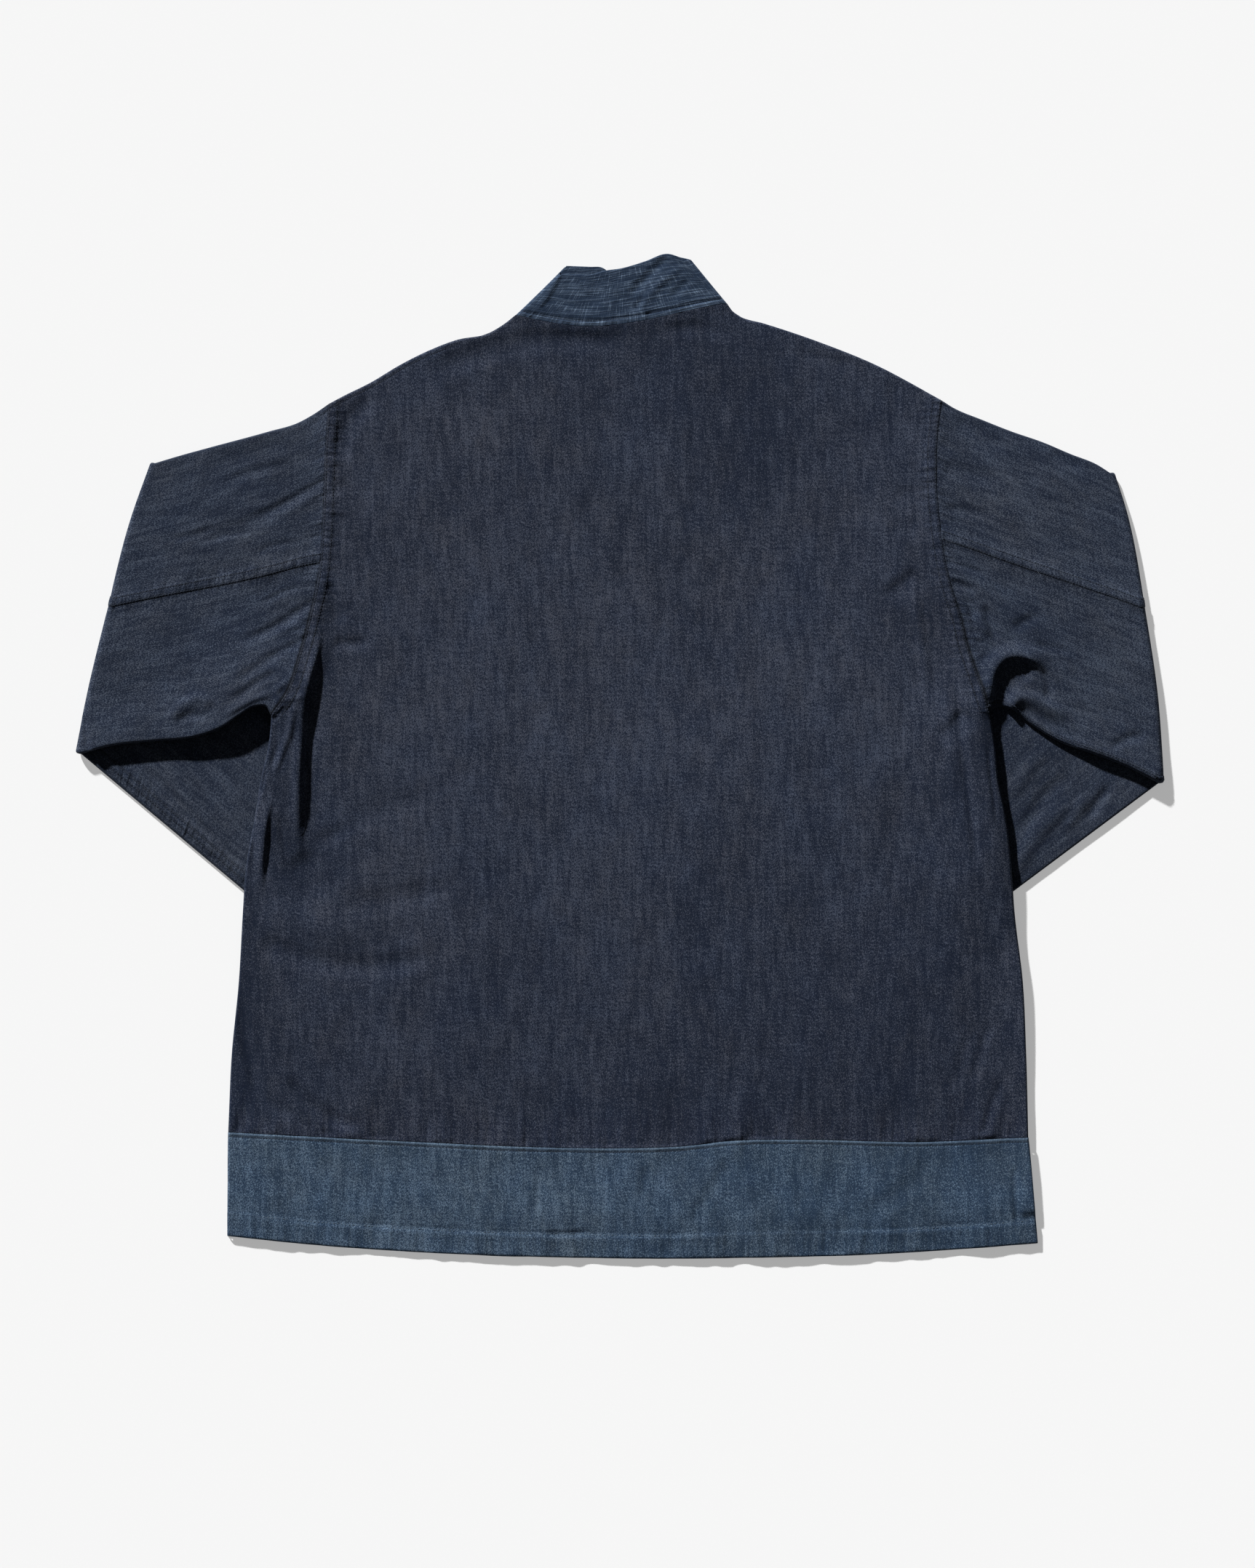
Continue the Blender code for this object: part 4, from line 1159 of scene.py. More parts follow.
def sleeve_points(sleeve, round_at):
    """Points of a sleeve, its thread map and each point's distance from the armhole."""
    half = FOREARM_DEPTH / 2
    width = sleeve_width(sleeve)
    axis, outward = sleeve_axis(sleeve)
    top_edge = sleeve.top_edge + [axis[0]]
    lower_edge = sleeve.lower_edge + [axis[-1]]
    arm = length_of([point_at(axis, 0.5), point_at(sleeve.armhole, 0.5)])
    rings, gone = [], []

    for along in spread(arm, 0.5, 3.0, UPPER_ARM_STEP):
        local = np.linalg.norm(point_at(lower_edge, along) - point_at(top_edge, along))
        share, rise = ring_place(round_at, EDGE_ROUND / local)
        down = share[:, None]
        plan = (1.0 - along) * curve(sleeve.armhole, share) + along * curve(axis, share)
        top_bow, low_bow = bow(top_edge, along), bow(lower_edge, along)
        plan += (1.0 - down) ** EDGE_FADE * top_bow + down ** EDGE_FADE * low_bow
        lower, room, sideways = layers(plan)
        near_fold = smooth_step((along - FOLD_FROM) / (1.0 - FOLD_FROM))
        folded_room = FOREARM_DEPTH + room - LAY
        room = room * (1.0 - near_fold ** 3) + folded_room * near_fold ** 3
        lower = lower + (fold_lift(share) - FOREARM_LIFT) * near_fold
        pushed = plan + sideways * (rise[:, None] + 1.0) / 2
        rings.append(with_height(pushed, lower + room / 2 * (1.0 + rise)))
        gone.append(along * arm)

    share, rise = ring_place(round_at, EDGE_ROUND / width)
    spine = curve(axis, share)
    bend = fold_lift(share) / 2
    reach = bend + rise * half
    above, room, _ = layers(spine)
    lump = above - FOREARM_LIFT + (room - LAY) / 2 * (1.0 + rise)
    for angle in np.linspace(0.0, pi, BEND_STEPS + 1)[1:]:
        plan = spine + (reach * np.sin(angle))[:, None] * outward
        left_of_lump = lump * (0.5 + 0.5 * np.cos(angle))
        rings.append(with_height(plan, bend + half + reach * np.cos(angle) + left_of_lump))
        turned = arm + angle * BEND_RADIUS
        gone.append(turned)

    cuff = np.array(sleeve.cuff, float)
    hem_line = cuff[0] + share[:, None] * (cuff[1] - cuff[0])
    forearm = length_of([point_at(axis, 0.5), cuff.mean(axis=0)])
    for along in spread(forearm, 2.0, 6.0, FOREARM_STEP)[1:]:
        plan = spine + along * (hem_line - spine)
        _, fold, _ = press(plan, LOWER_ARM_FOLDS)
        relief = fold + FOREARM_UNREST * rumpled(plan, UNREST)
        rings.append(with_height(plan, half - rise * half + np.clip(-rise, 0.0, 1.0) * relief))
        gone.append(turned + along * forearm)

    points = np.stack(rings)
    outwards = points[1] - points[0]
    outwards /= np.linalg.norm(outwards, axis=1, keepdims=True)
    points[0] -= TUCK * outwards
    points[0, :, 2] -= TUCK / 2 * np.clip(rise, 0.0, 1.0)
    from_armhole = np.broadcast_to(np.array(gone)[:, None], points.shape[:2])
    around = np.broadcast_to(round_at * width, points.shape[:2])
    return points, np.stack([around, -from_armhole], axis=-1), from_armhole


print("the left sleeve is", round(sleeve_width(LEFT_SLEEVE)), "mm wide when flat")

# %% [markdown]
# ## Sewing the sleeves
#
# On both sleeves the felled strip of the back seam lies above its line, on the top sleeve. The
# underarm seam's strip lies towards the lower edge. Near the armhole the cloth puckers, where
# the cap was eased into the body.

# %% Cut and sew the sleeves
PUCKER = 0.8
PUCKERS = [(0.7, 0.3, 7.0, 9), (0.5, -0.2, 14.0, 10)]
CAP_PUCKERS = 13.0
CAP_EASE = 3.0
CAP_WEAVE_PUCKERS = 9.0
ARMHOLE_DITCH = 1.4
BACK_REACH = 1.12
BACK_EASE = 0.6


def raise_along_normals(points, amounts):
    """Move a grid of points out along its own normals."""
    along = np.gradient(points, axis=0)
    across = np.gradient(points, axis=1)
    normal = np.cross(across, along)
    normal /= np.maximum(np.linalg.norm(normal, axis=-1, keepdims=True), 1e-9)
    return points + normal * amounts[..., None]


def ring_seam(sleeve, round_at, seam, side):
    """Distance inside a seam's strip, which lies on the side of lower or higher steps."""
    width = sleeve_width(sleeve)
    away = (round_at - seam + 2.0) % 4.0 - 2.0
    return away * side * width


def sleeve_piece(sleeve, ending, start, end, seeds):
    """One of the two pieces that a sleeve is cut in, and its rows of stitches."""
    width = sleeve_width(sleeve)
    round_at = ring_steps(start, end, width)
    points, grain, along = sleeve_points(sleeve, round_at)
    steps = np.broadcast_to(round_at, along.shape)
    under_side = -1.0 if sleeve.underarm_seam > 2.0 else 1.0
    back_inside = ring_seam(sleeve, steps, sleeve.back_seam, -1.0)
    under_inside = ring_seam(sleeve, steps, sleeve.underarm_seam, under_side)
    relief = felled(back_inside, along, seeds) + felled(under_inside, along, seeds + 5)
    on_back = np.abs((steps + 2.0) % 4.0 - 2.0 - 0.5)
    on_back = smooth_step((BACK_REACH - on_back) / BACK_EASE)
    pucker = sum(
        height * uneven(steps * width + slant * along, pitch, seeds + seed)
        for height, slant, pitch, seed in PUCKERS
    )
    cap = PUCKER * pucker * dying(along, CAP_PUCKERS) * smooth_step(along / CAP_EASE)
    relief = relief + cap * on_back
    sewn = (0.0, *FELL_ROWS)
    # The sleeve seams' ditches and rows take painted shade.
    lines = np.maximum(ditch(back_inside, sewn), ditch(under_inside, sewn))
    # Painted shade in the armhole ditch, wider and deeper towards the armpit.
    armpit_shade = armpit_shade_gain(points)
    at_armhole = ditch(along / armpit_shade, half=ARMHOLE_DITCH) * on_back * armpit_shade
    # The sleeve's dye patches carry painted light and shade as well.
    marks = {
        "ditch": np.maximum(lines, at_armhole),
        "fade": faded_and_shaded(points[..., :2]),
        "puckers_across": np.maximum(puckered(back_inside), puckered(under_inside)),
        "puckers_along": dying(along, CAP_WEAVE_PUCKERS) * on_back,
    }
    mirrored = sleeve.fold[0][0] < 0
    points = raise_along_normals(points, -relief if mirrored else relief)
    points[..., 2] = np.maximum(points[..., 2], 0.0)
    stitch_rows = []
    for inside in (back_inside[0], under_inside[0]):
        for row in FELL_ROWS:
            nearest = np.argmin(np.abs(inside - row))
            if abs(inside[nearest] - row) < 1.0:
                stitch_rows.append(points[:, nearest])
    name = sleeve.name + ending + "_cloth"
    return cloth_panel(name, points, grain, marks, flip=mirrored), stitch_rows


sleeves, sleeve_rows = {}, []
for sleeve, seeds in ((LEFT_SLEEVE, 70), (RIGHT_SLEEVE, 90)):
    cuts = (
        ("_under", sleeve.back_seam, sleeve.underarm_seam),
        ("_upper", sleeve.underarm_seam, 4.0 + sleeve.back_seam),
    )
    for ending, start, end in cuts:
        piece, rows = sleeve_piece(sleeve, ending, start, end, seeds)
        sleeves[sleeve.name + ending] = piece
        sleeve_rows.extend(rows)

# %% [markdown]
# ## Collar
#
# The stand collar is a flattened ring of double cloth, open at the centre front. Its back half
# lies on its two front halves, whose rounded ends look out behind it. A narrow folded strip of
# the collar cloth runs along the neck seam, under a stitched ditch.

# %% The collar
COLLAR_DEPTH = 5.0
COLLAR_CLOTH = 1.7
COLLAR_HEIGHT = 44.0
COLLAR_TURN_STEPS = 9
COLLAR_STRIP = 4.6
COLLAR_ROW_GAP = 0.4
COLLAR_INSET = 3.5
COLLAR_SEAM_LIFT = 0.1
COLLAR_UNREST = [(0.34, 12.0, 81), (0.16, 5.0, 82)]
STRIP_HEIGHT = 0.5
STRIP_EASE = 0.8
STRIP_DIP_HALF = 1.3
NECK_DIP = 0.9
NECK_DIP_REACH = 3.0
TOP_DROP = 0.9
TOP_ROLL = 1.0
COLLAR_WEAR_AND_HIGHLIGHT = 0.35
COLLAR_PALE_MIDDLE = 2.2
COLLAR_PALE_HALF = 1.6
COLLAR_PUCKERS = 6.0

COLLAR_FOLDS = [
    Fold([(-49, 398), (-55, 386), (-60, 378), (-67, 370)], 3, 6, 0.9, 2, 4),
    Fold([(40, 411), (27, 399), (7, 378)], 5, 6, -1.1, 4, 8),
    Fold([(52, 404), (38, 394), (24, 380), (14, 368)], 5, 5, 0.8, 8, 6),
    Fold([(21, 378), (17, 374), (13, 367)], 4, 4, -1.2, 3, 3),
    Fold([(-14, 398), (-18, 384), (-22, 370)], 9, 9, -0.5, 6, 6),
    Fold([(58, 392), (50, 386), (42, 376)], 5, 5, -0.6, 5, 5),
]


def round_fold(lower, upper, apex):
    """Round one side of the collar from its lower wall, past its outermost point, to its upper."""
    turns = np.linspace(0.0, pi, COLLAR_TURN_STEPS + 1)[1:-1, None]
    swing = np.array(apex, float) - (lower + upper) / 2
    points = lower + (upper - lower) * (1.0 - np.cos(turns)) / 2 + swing * np.sin(turns)
    return points, turns[:, 0]


def collar_rings():
    """The collar's base and top as rings, and how far each place of them has turned up."""
    width = BACK_NECK[-1][0] - BACK_NECK[0][0]
    inset = COLLAR_INSET / width
    shares = np.unique(np.clip(spread(width, 0.8, 0.8, 1.7), inset, 1.0 - inset))
    middle = len(shares) // 2
    neck = curve(BACK_NECK, shares)
    top_back = curve(COLLAR_TOP_BACK, shares)
    top_left = curve(COLLAR_TOP_LEFT, shares[:middle + 1] / shares[middle])
    right_shares = (shares[middle:] - shares[middle]) / (1.0 - shares[middle])
    top_right = curve(COLLAR_TOP_RIGHT, right_shares)
    rings = []
    for lower_left, upper, lower_right, ends in (
        (neck[:middle + 1], neck, neck[middle:], (BACK_NECK[0], BACK_NECK[-1])),
        (top_left, top_back, top_right, COLLAR_TOP_FOLDS),
    ):
        left_turn, turns = round_fold(lower_left[0], upper[0], ends[0])
        right_turn, _ = round_fold(lower_right[-1], upper[-1], ends[1])
        rings.append(np.vstack([
            lower_left[::-1], left_turn, upper, right_turn[::-1], lower_right[::-1],
        ]))
    for ring in rings:
        ring[0, 0] -= CENTRE_GAP / 2
        ring[-1, 0] += CENTRE_GAP / 2
    rings[0][:, 1] += COLLAR_SEAM_LIFT
    turned = np.concatenate([
        np.zeros(middle + 1), turns, np.full(len(shares), pi), turns[::-1],
        np.zeros(len(shares) - middle),
    ])
    return rings, turned


def collar_points():
    """Rows up the collar, its thread map, each point's distance from the neck seam, and where
    its outer side is up."""
    (base, top), turned = collar_rings()
    half = COLLAR_DEPTH / 2
    rows = spread(COLLAR_HEIGHT, 0.5, 0.5, 1.4)
    plan = base[None] + (top - base)[None] * rows[:, None, None]
    rise = np.broadcast_to(-np.cos(turned), plan.shape[:-1])
    up_side = np.clip(rise, 0.0, 1.0)
    local = np.linalg.norm(top - base, axis=1)[None]
    reach = local * rows[:, None]
    from_top = local * (1.0 - rows[:, None])
    _, fold, _ = press(plan, COLLAR_FOLDS)
    strip = smooth_step((COLLAR_STRIP - reach) / STRIP_EASE)
    dip = hump(reach - COLLAR_STRIP - COLLAR_ROW_GAP, STRIP_DIP_HALF)
    top_roll = TOP_DROP * (1.0 - rounded(from_top, TOP_ROLL))
    relief = fold + rumpled(plan, COLLAR_UNREST) + STRIP_HEIGHT * strip - dip
    relief = relief - NECK_DIP * spot(reach, NECK_DIP_REACH) - top_roll
    grain = np.stack([np.broadcast_to(walked(base), reach.shape), reach], axis=-1)
    return with_height(plan, half + half * rise + up_side * relief), grain, reach, up_side


collar_grid, collar_grain, from_neck, collar_up = collar_points()
# A pale line on the collar's folded strip, rubbed cloth and a painted highlight; its ditches take
# painted shade.
on_strip = 1.0 - np.abs(from_neck - COLLAR_PALE_MIDDLE) / COLLAR_PALE_HALF
collar_marks = {
    "ditch": ditch(from_neck, (0.0, COLLAR_STRIP + COLLAR_ROW_GAP)) * collar_up,
    "wear": np.clip(on_strip, 0.0, 1.0) * collar_up * COLLAR_WEAR_AND_HIGHLIGHT,
    "puckers_along": dying(from_neck, COLLAR_PUCKERS) * collar_up,
}
collar = cloth_panel("collar_cloth", collar_grid, collar_grain, collar_marks, COLLAR_CLOTH)

# %% [markdown]
# ## Stitches
#
# The rows are lockstitched at about ten to the inch. A path of points on the finished cloth
# goes in, and Geometry Nodes lays one small bead of thread per stitch along it, turned to
# follow the path and a little uneven. Because the paths are read from the same surfaces as the
# panels, the stitches sit in their dips.

# %% Rows of stitches as Geometry Nodes
STITCH_PITCH = 2.5
STITCH_LENGTH = 1.9
THREAD_WIDTH = 0.55
THREAD_RISE = 0.08
LEAST_SIZE = (0.85, 0.85, 0.9)
MOST_SIZE = (1.1, 1.1, 1.08)
BEAD_SIDES = 6
BEAD_RINGS = 4
BEAD_FACES = BEAD_SIDES * BEAD_RINGS


def step(tree, kind, settings=None, fed=None, out=0):
    """Add a node with its settings and inputs, which are values or other nodes' outputs."""
    node = tree.nodes.new(kind)
    for label, value in (settings or {}).items():
        setattr(node, label, value)
    for socket, value in (fed or {}).items():
        if isinstance(value, bpy.types.NodeSocket):
            tree.links.new(value, node.inputs[socket])
        else:
            node.inputs[socket].default_value = value
    return node.outputs[out]


def new_group(name, kind, takes, gives):
    """An empty node group of a kind, with its named inputs and outputs."""
    group = bpy.data.node_groups.new(name, kind)
    for side, sockets in (("INPUT", takes), ("OUTPUT", gives)):
        for label, socket in sockets.items():
            group.interface.new_socket(label, in_out=side, socket_type="NodeSocket" + socket)
    entry, exit_node = group.nodes.new("NodeGroupInput"), group.nodes.new("NodeGroupOutput")
    return group, entry.outputs, exit_node.inputs


def sewing_nodes():
    """A node group that lays stitches along the edges it is given."""
    group, takes, gives = new_group(
        "row_of_stitches", "GeometryNodeTree",
        {"Paths": "Geometry", "Pitch": "Float", "Thread": "Material"}, {"Stitches": "Geometry"},
    )
    stitch = (THREAD_WIDTH, THREAD_WIDTH, STITCH_LENGTH)
    least = [length * share * MM for length, share in zip(stitch, LEAST_SIZE)]
    most = [length * share * MM for length, share in zip(stitch, MOST_SIZE)]
    path = step(group, "GeometryNodeMeshToCurve", fed={"Mesh": takes["Paths"]})
    places = step(group, "GeometryNodeResampleCurve", {"mode": "LENGTH"}, {
        "Curve": path, "Length": takes["Pitch"],
    })
    bead = step(group, "GeometryNodeMeshUVSphere", fed={
        "Segments": BEAD_SIDES, "Rings": BEAD_RINGS, "Radius": 0.5,
    })
    size = step(group, "FunctionNodeRandomValue", {"data_type": "FLOAT_VECTOR"}, {
        0: least, 1: most, "Seed": 5,
    })
    turn = step(group, "FunctionNodeAlignRotationToVector", fed={
        "Vector": step(group, "GeometryNodeInputTangent"),
    })
    beads = step(group, "GeometryNodeInstanceOnPoints", fed={
        "Points": places, "Instance": bead, "Rotation": turn, "Scale": size,
    })
    real = step(group, "GeometryNodeRealizeInstances", fed={"Geometry": beads})
    dyed = step(group, "GeometryNodeSetMaterial", fed={
        "Geometry": real, "Material": takes["Thread"],
    })
    group.links.new(dyed, gives["Stitches"])
    return group


stitching = sewing_nodes()
print("the sewing group has", len(stitching.nodes), "nodes")

# %% [markdown]
# ## Sewing thread
#
# Thread is spun, so its colour is mottled along its length at a scale far below a stitch. A
# fine noise between two tones of one colour is enough at this size. It is a little shinier
# than the cloth, because it is combed and waxed.

# %% Threads
SPUN = {"Roughness": 0.7, "Specular IOR Level": 0.2}
FUZZ_SCALE = 700.0
FUZZ_TONES = (0.7, 1.3)
FUZZ_STOPS = (0.3, 0.7)


def new_material(name, constants):
    """A material with constants on its shader's own sockets, with its tree and its shader."""
    material = bpy.data.materials.new(name)
    material.use_nodes = True
    shader = material.node_tree.nodes["Principled BSDF"].inputs
    for socket, value in constants.items():
        shader[socket].default_value = value
    return material, material.node_tree, shader


def two_tone(tree, mask, tones, stops=(0.0, 1.0)):
    """Colours that run from one tone to another while a mask goes from stop to stop."""
    ramp = tree.nodes.new("ShaderNodeValToRGB")
    for element, tone, stop in zip(ramp.color_ramp.elements, tones, stops):
        element.position = stop
        element.color = (*tone, 1.0)
    tree.links.new(mask, ramp.inputs[0])
    return ramp.outputs[0]


def thread_material(name, colour):
    """A spun thread, a little shinier than the cloth."""
    material, tree, shader = new_material(name, SPUN)
    place = step(tree, "ShaderNodeTexCoord", out="Object")
    fuzz = step(tree, "ShaderNodeTexNoise", fed={"Vector": place, "Scale": FUZZ_SCALE})
    tones = [[share * value for value in colour] for share in FUZZ_TONES]
    tree.links.new(two_tone(tree, fuzz, tones, FUZZ_STOPS), shader["Base Color"])
    return material


navy_thread = thread_material("navy_thread", (0.016, 0.022, 0.036))
blue_thread = thread_material("light_blue_thread", (0.078, 0.108, 0.145))
print("threads:", navy_thread.name, "and", blue_thread.name)

# %% [markdown]
# ## Rows of stitches
#
# The body's rows follow the armholes, the left shoulder and the band. The collar has one row in
# the ditch over its folded strip. The hem is sewn in lighter thread. Each row's path is read
# off the finished surface, at a fixed distance from its edge, as a machine's guide keeps it.

# %% Sew every row
ROW_POINTS = 160
BAND_ROW_POINTS = 420
BAND_ROW_ENDS = (0.003, 0.997)
SHOULDER_ENDS = (0.02, 0.62)
HEM_PITCH = 3.2


def sew(name, paths, thread, pitch=STITCH_PITCH):
    """Stitches along paths of points in millimetres."""
    points = np.concatenate(paths) - np.array([*MIDDLE, -THREAD_RISE])
    edges, first = [], 0
    for path in paths:
        edges.extend((first + i, first + i + 1) for i in range(len(path) - 1))
        first += len(path)
    mesh = bpy.data.meshes.new(name + "_paths")
    mesh.from_pydata((points * MM).tolist(), edges, [])
    rows = add_object(name + "_paths", mesh)
    sewing = rows.modifiers.new("sewing", "NODES")
    sewing.node_group = stitching
    values = {"Pitch": pitch * MM, "Thread": thread}
    for item in stitching.interface.items_tree:
        if item.item_type == "SOCKET" and item.in_out == "INPUT" and item.name in values:
            sewing[item.identifier] = values[item.name]
    evaluated = rows.evaluated_get(bpy.context.evaluated_depsgraph_get())
    stitches = add_object(name, bpy.data.meshes.new_from_object(evaluated))
    bpy.data.objects.remove(rows)
    stitches.data.name = name
    stitches.data.shade_smooth()
    print(name, len(paths), "rows,", len(stitches.data.polygons) // BEAD_FACES, "stitches")
    return stitches


def inset_row(table, distance, first=0.0, last=1.0):
    """Plan points at a distance inside a curve of the body, which lies towards its middle."""
    line = curve(table, np.linspace(first, last, ROW_POINTS))
    way = np.gradient(line, axis=0)
    normal = np.stack([way[:, 1], -way[:, 0]], axis=1)
    normal /= np.linalg.norm(normal, axis=1, keepdims=True)
    normal *= -np.sign((normal * line).sum(axis=1, keepdims=True))
    return (line + distance * normal)[None]


def on_body(plan):
    """Points on the back's outside over a plan row."""
    ground, height, _ = body_top(plan)
    return with_height(ground, height)[0]


def on_band(from_edge, at_hem):
    """Points on the band's outside along a row at a distance from the hem or from the seam."""
    columns = np.linspace(*BAND_ROW_ENDS, BAND_ROW_POINTS)
    height = np.linalg.norm(curve(BAND_SEAM, columns) - curve(HEM, columns), axis=1)
    shares = (from_edge / height if at_hem else 1.0 - from_edge / height)[None]
    ground, high, _ = band_top(*band_grid(columns, shares))
    return with_height(ground, high)[0]


body_rows = [
    on_body(inset_row(armhole, row))
    for armhole in (LEFT_ARMHOLE, RIGHT_ARMHOLE) for row in FELL_ROWS
]
body_rows.append(on_body(inset_row(LEFT_SHOULDER, SHOULDER_ROW, *SHOULDER_ENDS)))
body_stitches = sew("body_stitches", body_rows, navy_thread)
sleeve_stitches = sew("sleeve_stitches", sleeve_rows, navy_thread)
band_stitches = sew("band_edge_stitches", [on_band(BAND_ROW, False)], navy_thread)
hem_stitches = sew("hem_stitches", [on_band(HEM_TURN, True)], blue_thread, HEM_PITCH)
collar_row = np.argmin(np.abs(from_neck.mean(axis=1) - COLLAR_STRIP - COLLAR_ROW_GAP))
on_top = collar_up[0] > 0.98
collar_stitches = sew("collar_stitches", [collar_grid[collar_row, on_top]], navy_thread)

# %% [markdown]
# ## Yarns and weave
#
# Denim is a twill of dyed warp and pale weft, so close up it is a scatter of light flecks on a
# dark ground, slanted because the weave steps sideways at each pick. Each yarn takes dye
# unevenly: that gives streaks along the warp and cloudy patches. All of it is worked out from
# the thread map in metres, so the scale is the real one on every panel. The depth of dye is
# squared before it mixes the colours, as most yarns are dark and few are pale. The same group
# also gives the height of the ribs and puckers, in millimetres.

# %% What the woven cloths share
NOISE_APART = (7.3, 3.1, 1.7)
PUCKERS_ACROSS = (26.0, 5.5, 11)
PUCKERS_ALONG = (6.0, 36.0, 12)
ACROSS_HEIGHT = 1.6
ALONG_HEIGHT = 2.4
# How much painted shade the ditches take, and how far the rubbed lines with their painted highlight
# go pale.
DITCH_PAINTED_SHADE = 0.5
WEAR_AND_HIGHLIGHT_PALE = 0.42
HUE_DRIFT = 0.36


def maths(tree, operation, *values):
    """One sum of the mask or height."""
    return step(tree, "ShaderNodeMath", {"operation": operation}, dict(enumerate(values)))


def noise(tree, thread, across, along, seed, detail=1.0, roughness=0.5):
    """Noise from 0 to 1 with its grain size in millimetres across and along the warp."""
    grains = (1.0 / MM / across, 1.0 / MM / along, 0.0)
    place = step(tree, "ShaderNodeVectorMath", {"operation": "MULTIPLY_ADD"}, {
        0: thread, 1: grains, 2: [seed * apart for apart in NOISE_APART],
    })
    return step(tree, "ShaderNodeTexNoise", {"noise_dimensions": "3D"}, {
        "Vector": place, "Scale": 1.0, "Detail": detail, "Roughness": roughness,
    })


def total(tree, parts, start):
    """Add masks, each with its own weight, after taking their middle value away."""
    found = start
    for mask, weight in parts:
        offset = maths(tree, "MULTIPLY_ADD", mask, weight, -0.5 * weight)
        found = maths(tree, "ADD", found, offset)
    return found


def blend(tree, share, first, second, how="MIX"):
    """Mix two colours, which are sockets 6 and 7 of the node, and 2 of its outputs."""
    node = {"data_type": "RGBA", "blend_type": how}
    return step(tree, "ShaderNodeMix", node, {0: share, 6: first, 7: second}, 2)


def tinted(tree, colour, red, green, blue):
    """A colour with each of its parts multiplied."""
    tint = step(tree, "ShaderNodeCombineColor", fed={0: red, 1: green, 2: blue})
    return blend(tree, 1.0, colour, tint, "MULTIPLY")


def drifting(tree, colour, mask):
    """Make a colour warmer where a mask is above its middle, and bluer where it is below."""
    warm = maths(tree, "MULTIPLY_ADD", mask, HUE_DRIFT, 1.0 - HUE_DRIFT / 2)
    cool = maths(tree, "MULTIPLY_ADD", mask, -HUE_DRIFT, 1.0 + HUE_DRIFT / 2)
    return tinted(tree, colour, warm, 1.0, cool)


def marked(tree, colour, takes):
    """Paint shade into the seam ditches, and pale the rubbed lines that also carry a painted
    highlight.
    """
    left = maths(tree, "MULTIPLY_ADD", takes["Ditch"], -DITCH_PAINTED_SHADE, 1.0)
    rubbed_and_highlit = maths(tree, "MULTIPLY", takes["Wear"], WEAR_AND_HIGHLIGHT_PALE)
    return blend(tree, rubbed_and_highlit, tinted(tree, colour, left, left, left), takes["Pale"])


def pucker_height(tree, takes):
    """Height of the puckers across and along the warp, in millimetres."""
    across = noise(tree, takes["Thread"], *PUCKERS_ACROSS)
    along = noise(tree, takes["Thread"], *PUCKERS_ALONG)
    first = maths(tree, "MULTIPLY", across, takes["Puckers across"])
    second = maths(tree, "MULTIPLY", along, takes["Puckers along"])
    first = maths(tree, "MULTIPLY", first, ACROSS_HEIGHT)
    return maths(tree, "ADD", first, maths(tree, "MULTIPLY", second, ALONG_HEIGHT))


def mark_input(label):
    """The name of the group's input for a mark."""
    return label.replace("_", " ").capitalize()


def cloth_group(name):
    """An empty group for a cloth, which takes its thread map, its two colours and its marks."""
    takes = {"Thread": "Vector", "Dyed": "Color", "Pale": "Color"}
    takes.update({mark_input(label): "Float" for label in MARKS})
    return new_group(name, "ShaderNodeTree", takes, {"Color": "Color", "Height": "Float"})


def finish_cloth(tree, takes, gives, dye, start, relief, hues=None):
    """Turn weighted masks into the cloth's colour, and others into the height of its weave."""
    # The mark of washed-out dye also holds painted light and shade.
    depth_of_dye = total(tree, dye, maths(tree, "ADD", takes["Fade"], start))
    held = step(tree, "ShaderNodeClamp", fed={0: depth_of_dye})
    squared = maths(tree, "MULTIPLY", held, held)
    yarns = blend(tree, squared, takes["Dyed"], takes["Pale"])
    if hues is not None:
        yarns = drifting(tree, yarns, hues)
    tree.links.new(marked(tree, yarns, takes), gives["Color"])
    weave = total(tree, relief, 0.0)
    tree.links.new(maths(tree, "ADD", weave, pucker_height(tree, takes)), gives["Height"])
    print("the", tree.name, "group has", len(tree.nodes), "nodes")


# %% [markdown]
# ## Twill
#
# One twill serves the body, the sleeves and the bands, in other colours. Its masks go from the
# fleck of one yarn to clouds a hand wide, because dyed cotton varies at every size, and a cloth
# with one size of grain looks printed. The hue drifts on its own, a little warmer here and
# bluer there, as indigo does when it washes out.

# %% A group for the twill
TWILL_LEAN = 25.0

twill, takes, gives = cloth_group("twill")
thread = takes["Thread"]
turned = {"Vector": thread, "Angle": radians(TWILL_LEAN)}
ribs = step(twill, "ShaderNodeVectorRotate", {"rotation_type": "Z_AXIS"}, turned)
flecks = noise(twill, ribs, 0.56, 1.6, 3)
heather = noise(twill, thread, 0.7, 0.9, 2)
streaks = noise(twill, thread, 2.4, 34.0, 4, 2.0)
patches = noise(twill, thread, 5.0, 20.0, 5, 2.0)
picks = noise(twill, thread, 26.0, 2.6, 7, 2.0)
clouds = noise(twill, thread, 70.0, 95.0, 6, 2.0)
finish_cloth(
    twill, takes, gives,
    dye=[
        (flecks, 3.4), (heather, 1.7), (streaks, 0.76), (patches, 0.96), (picks, 0.56),
        (clouds, 0.5),
    ],
    start=0.51,
    relief=[(heather, 0.1), (flecks, 0.16)],
    hues=noise(twill, thread, 55.0, 80.0, 8, 5.0, 0.8),
)

# %% [markdown]
# ## Slub cloth
#
# The collar's cloth is plain woven from slub yarns, which swell and thin along their length. A
# swelling shows as a pale line: long ones along the weft, and shorter and rarer ones along the
# warp. Stretched noise, cut off at a level, gives lines that start and stop as they should.

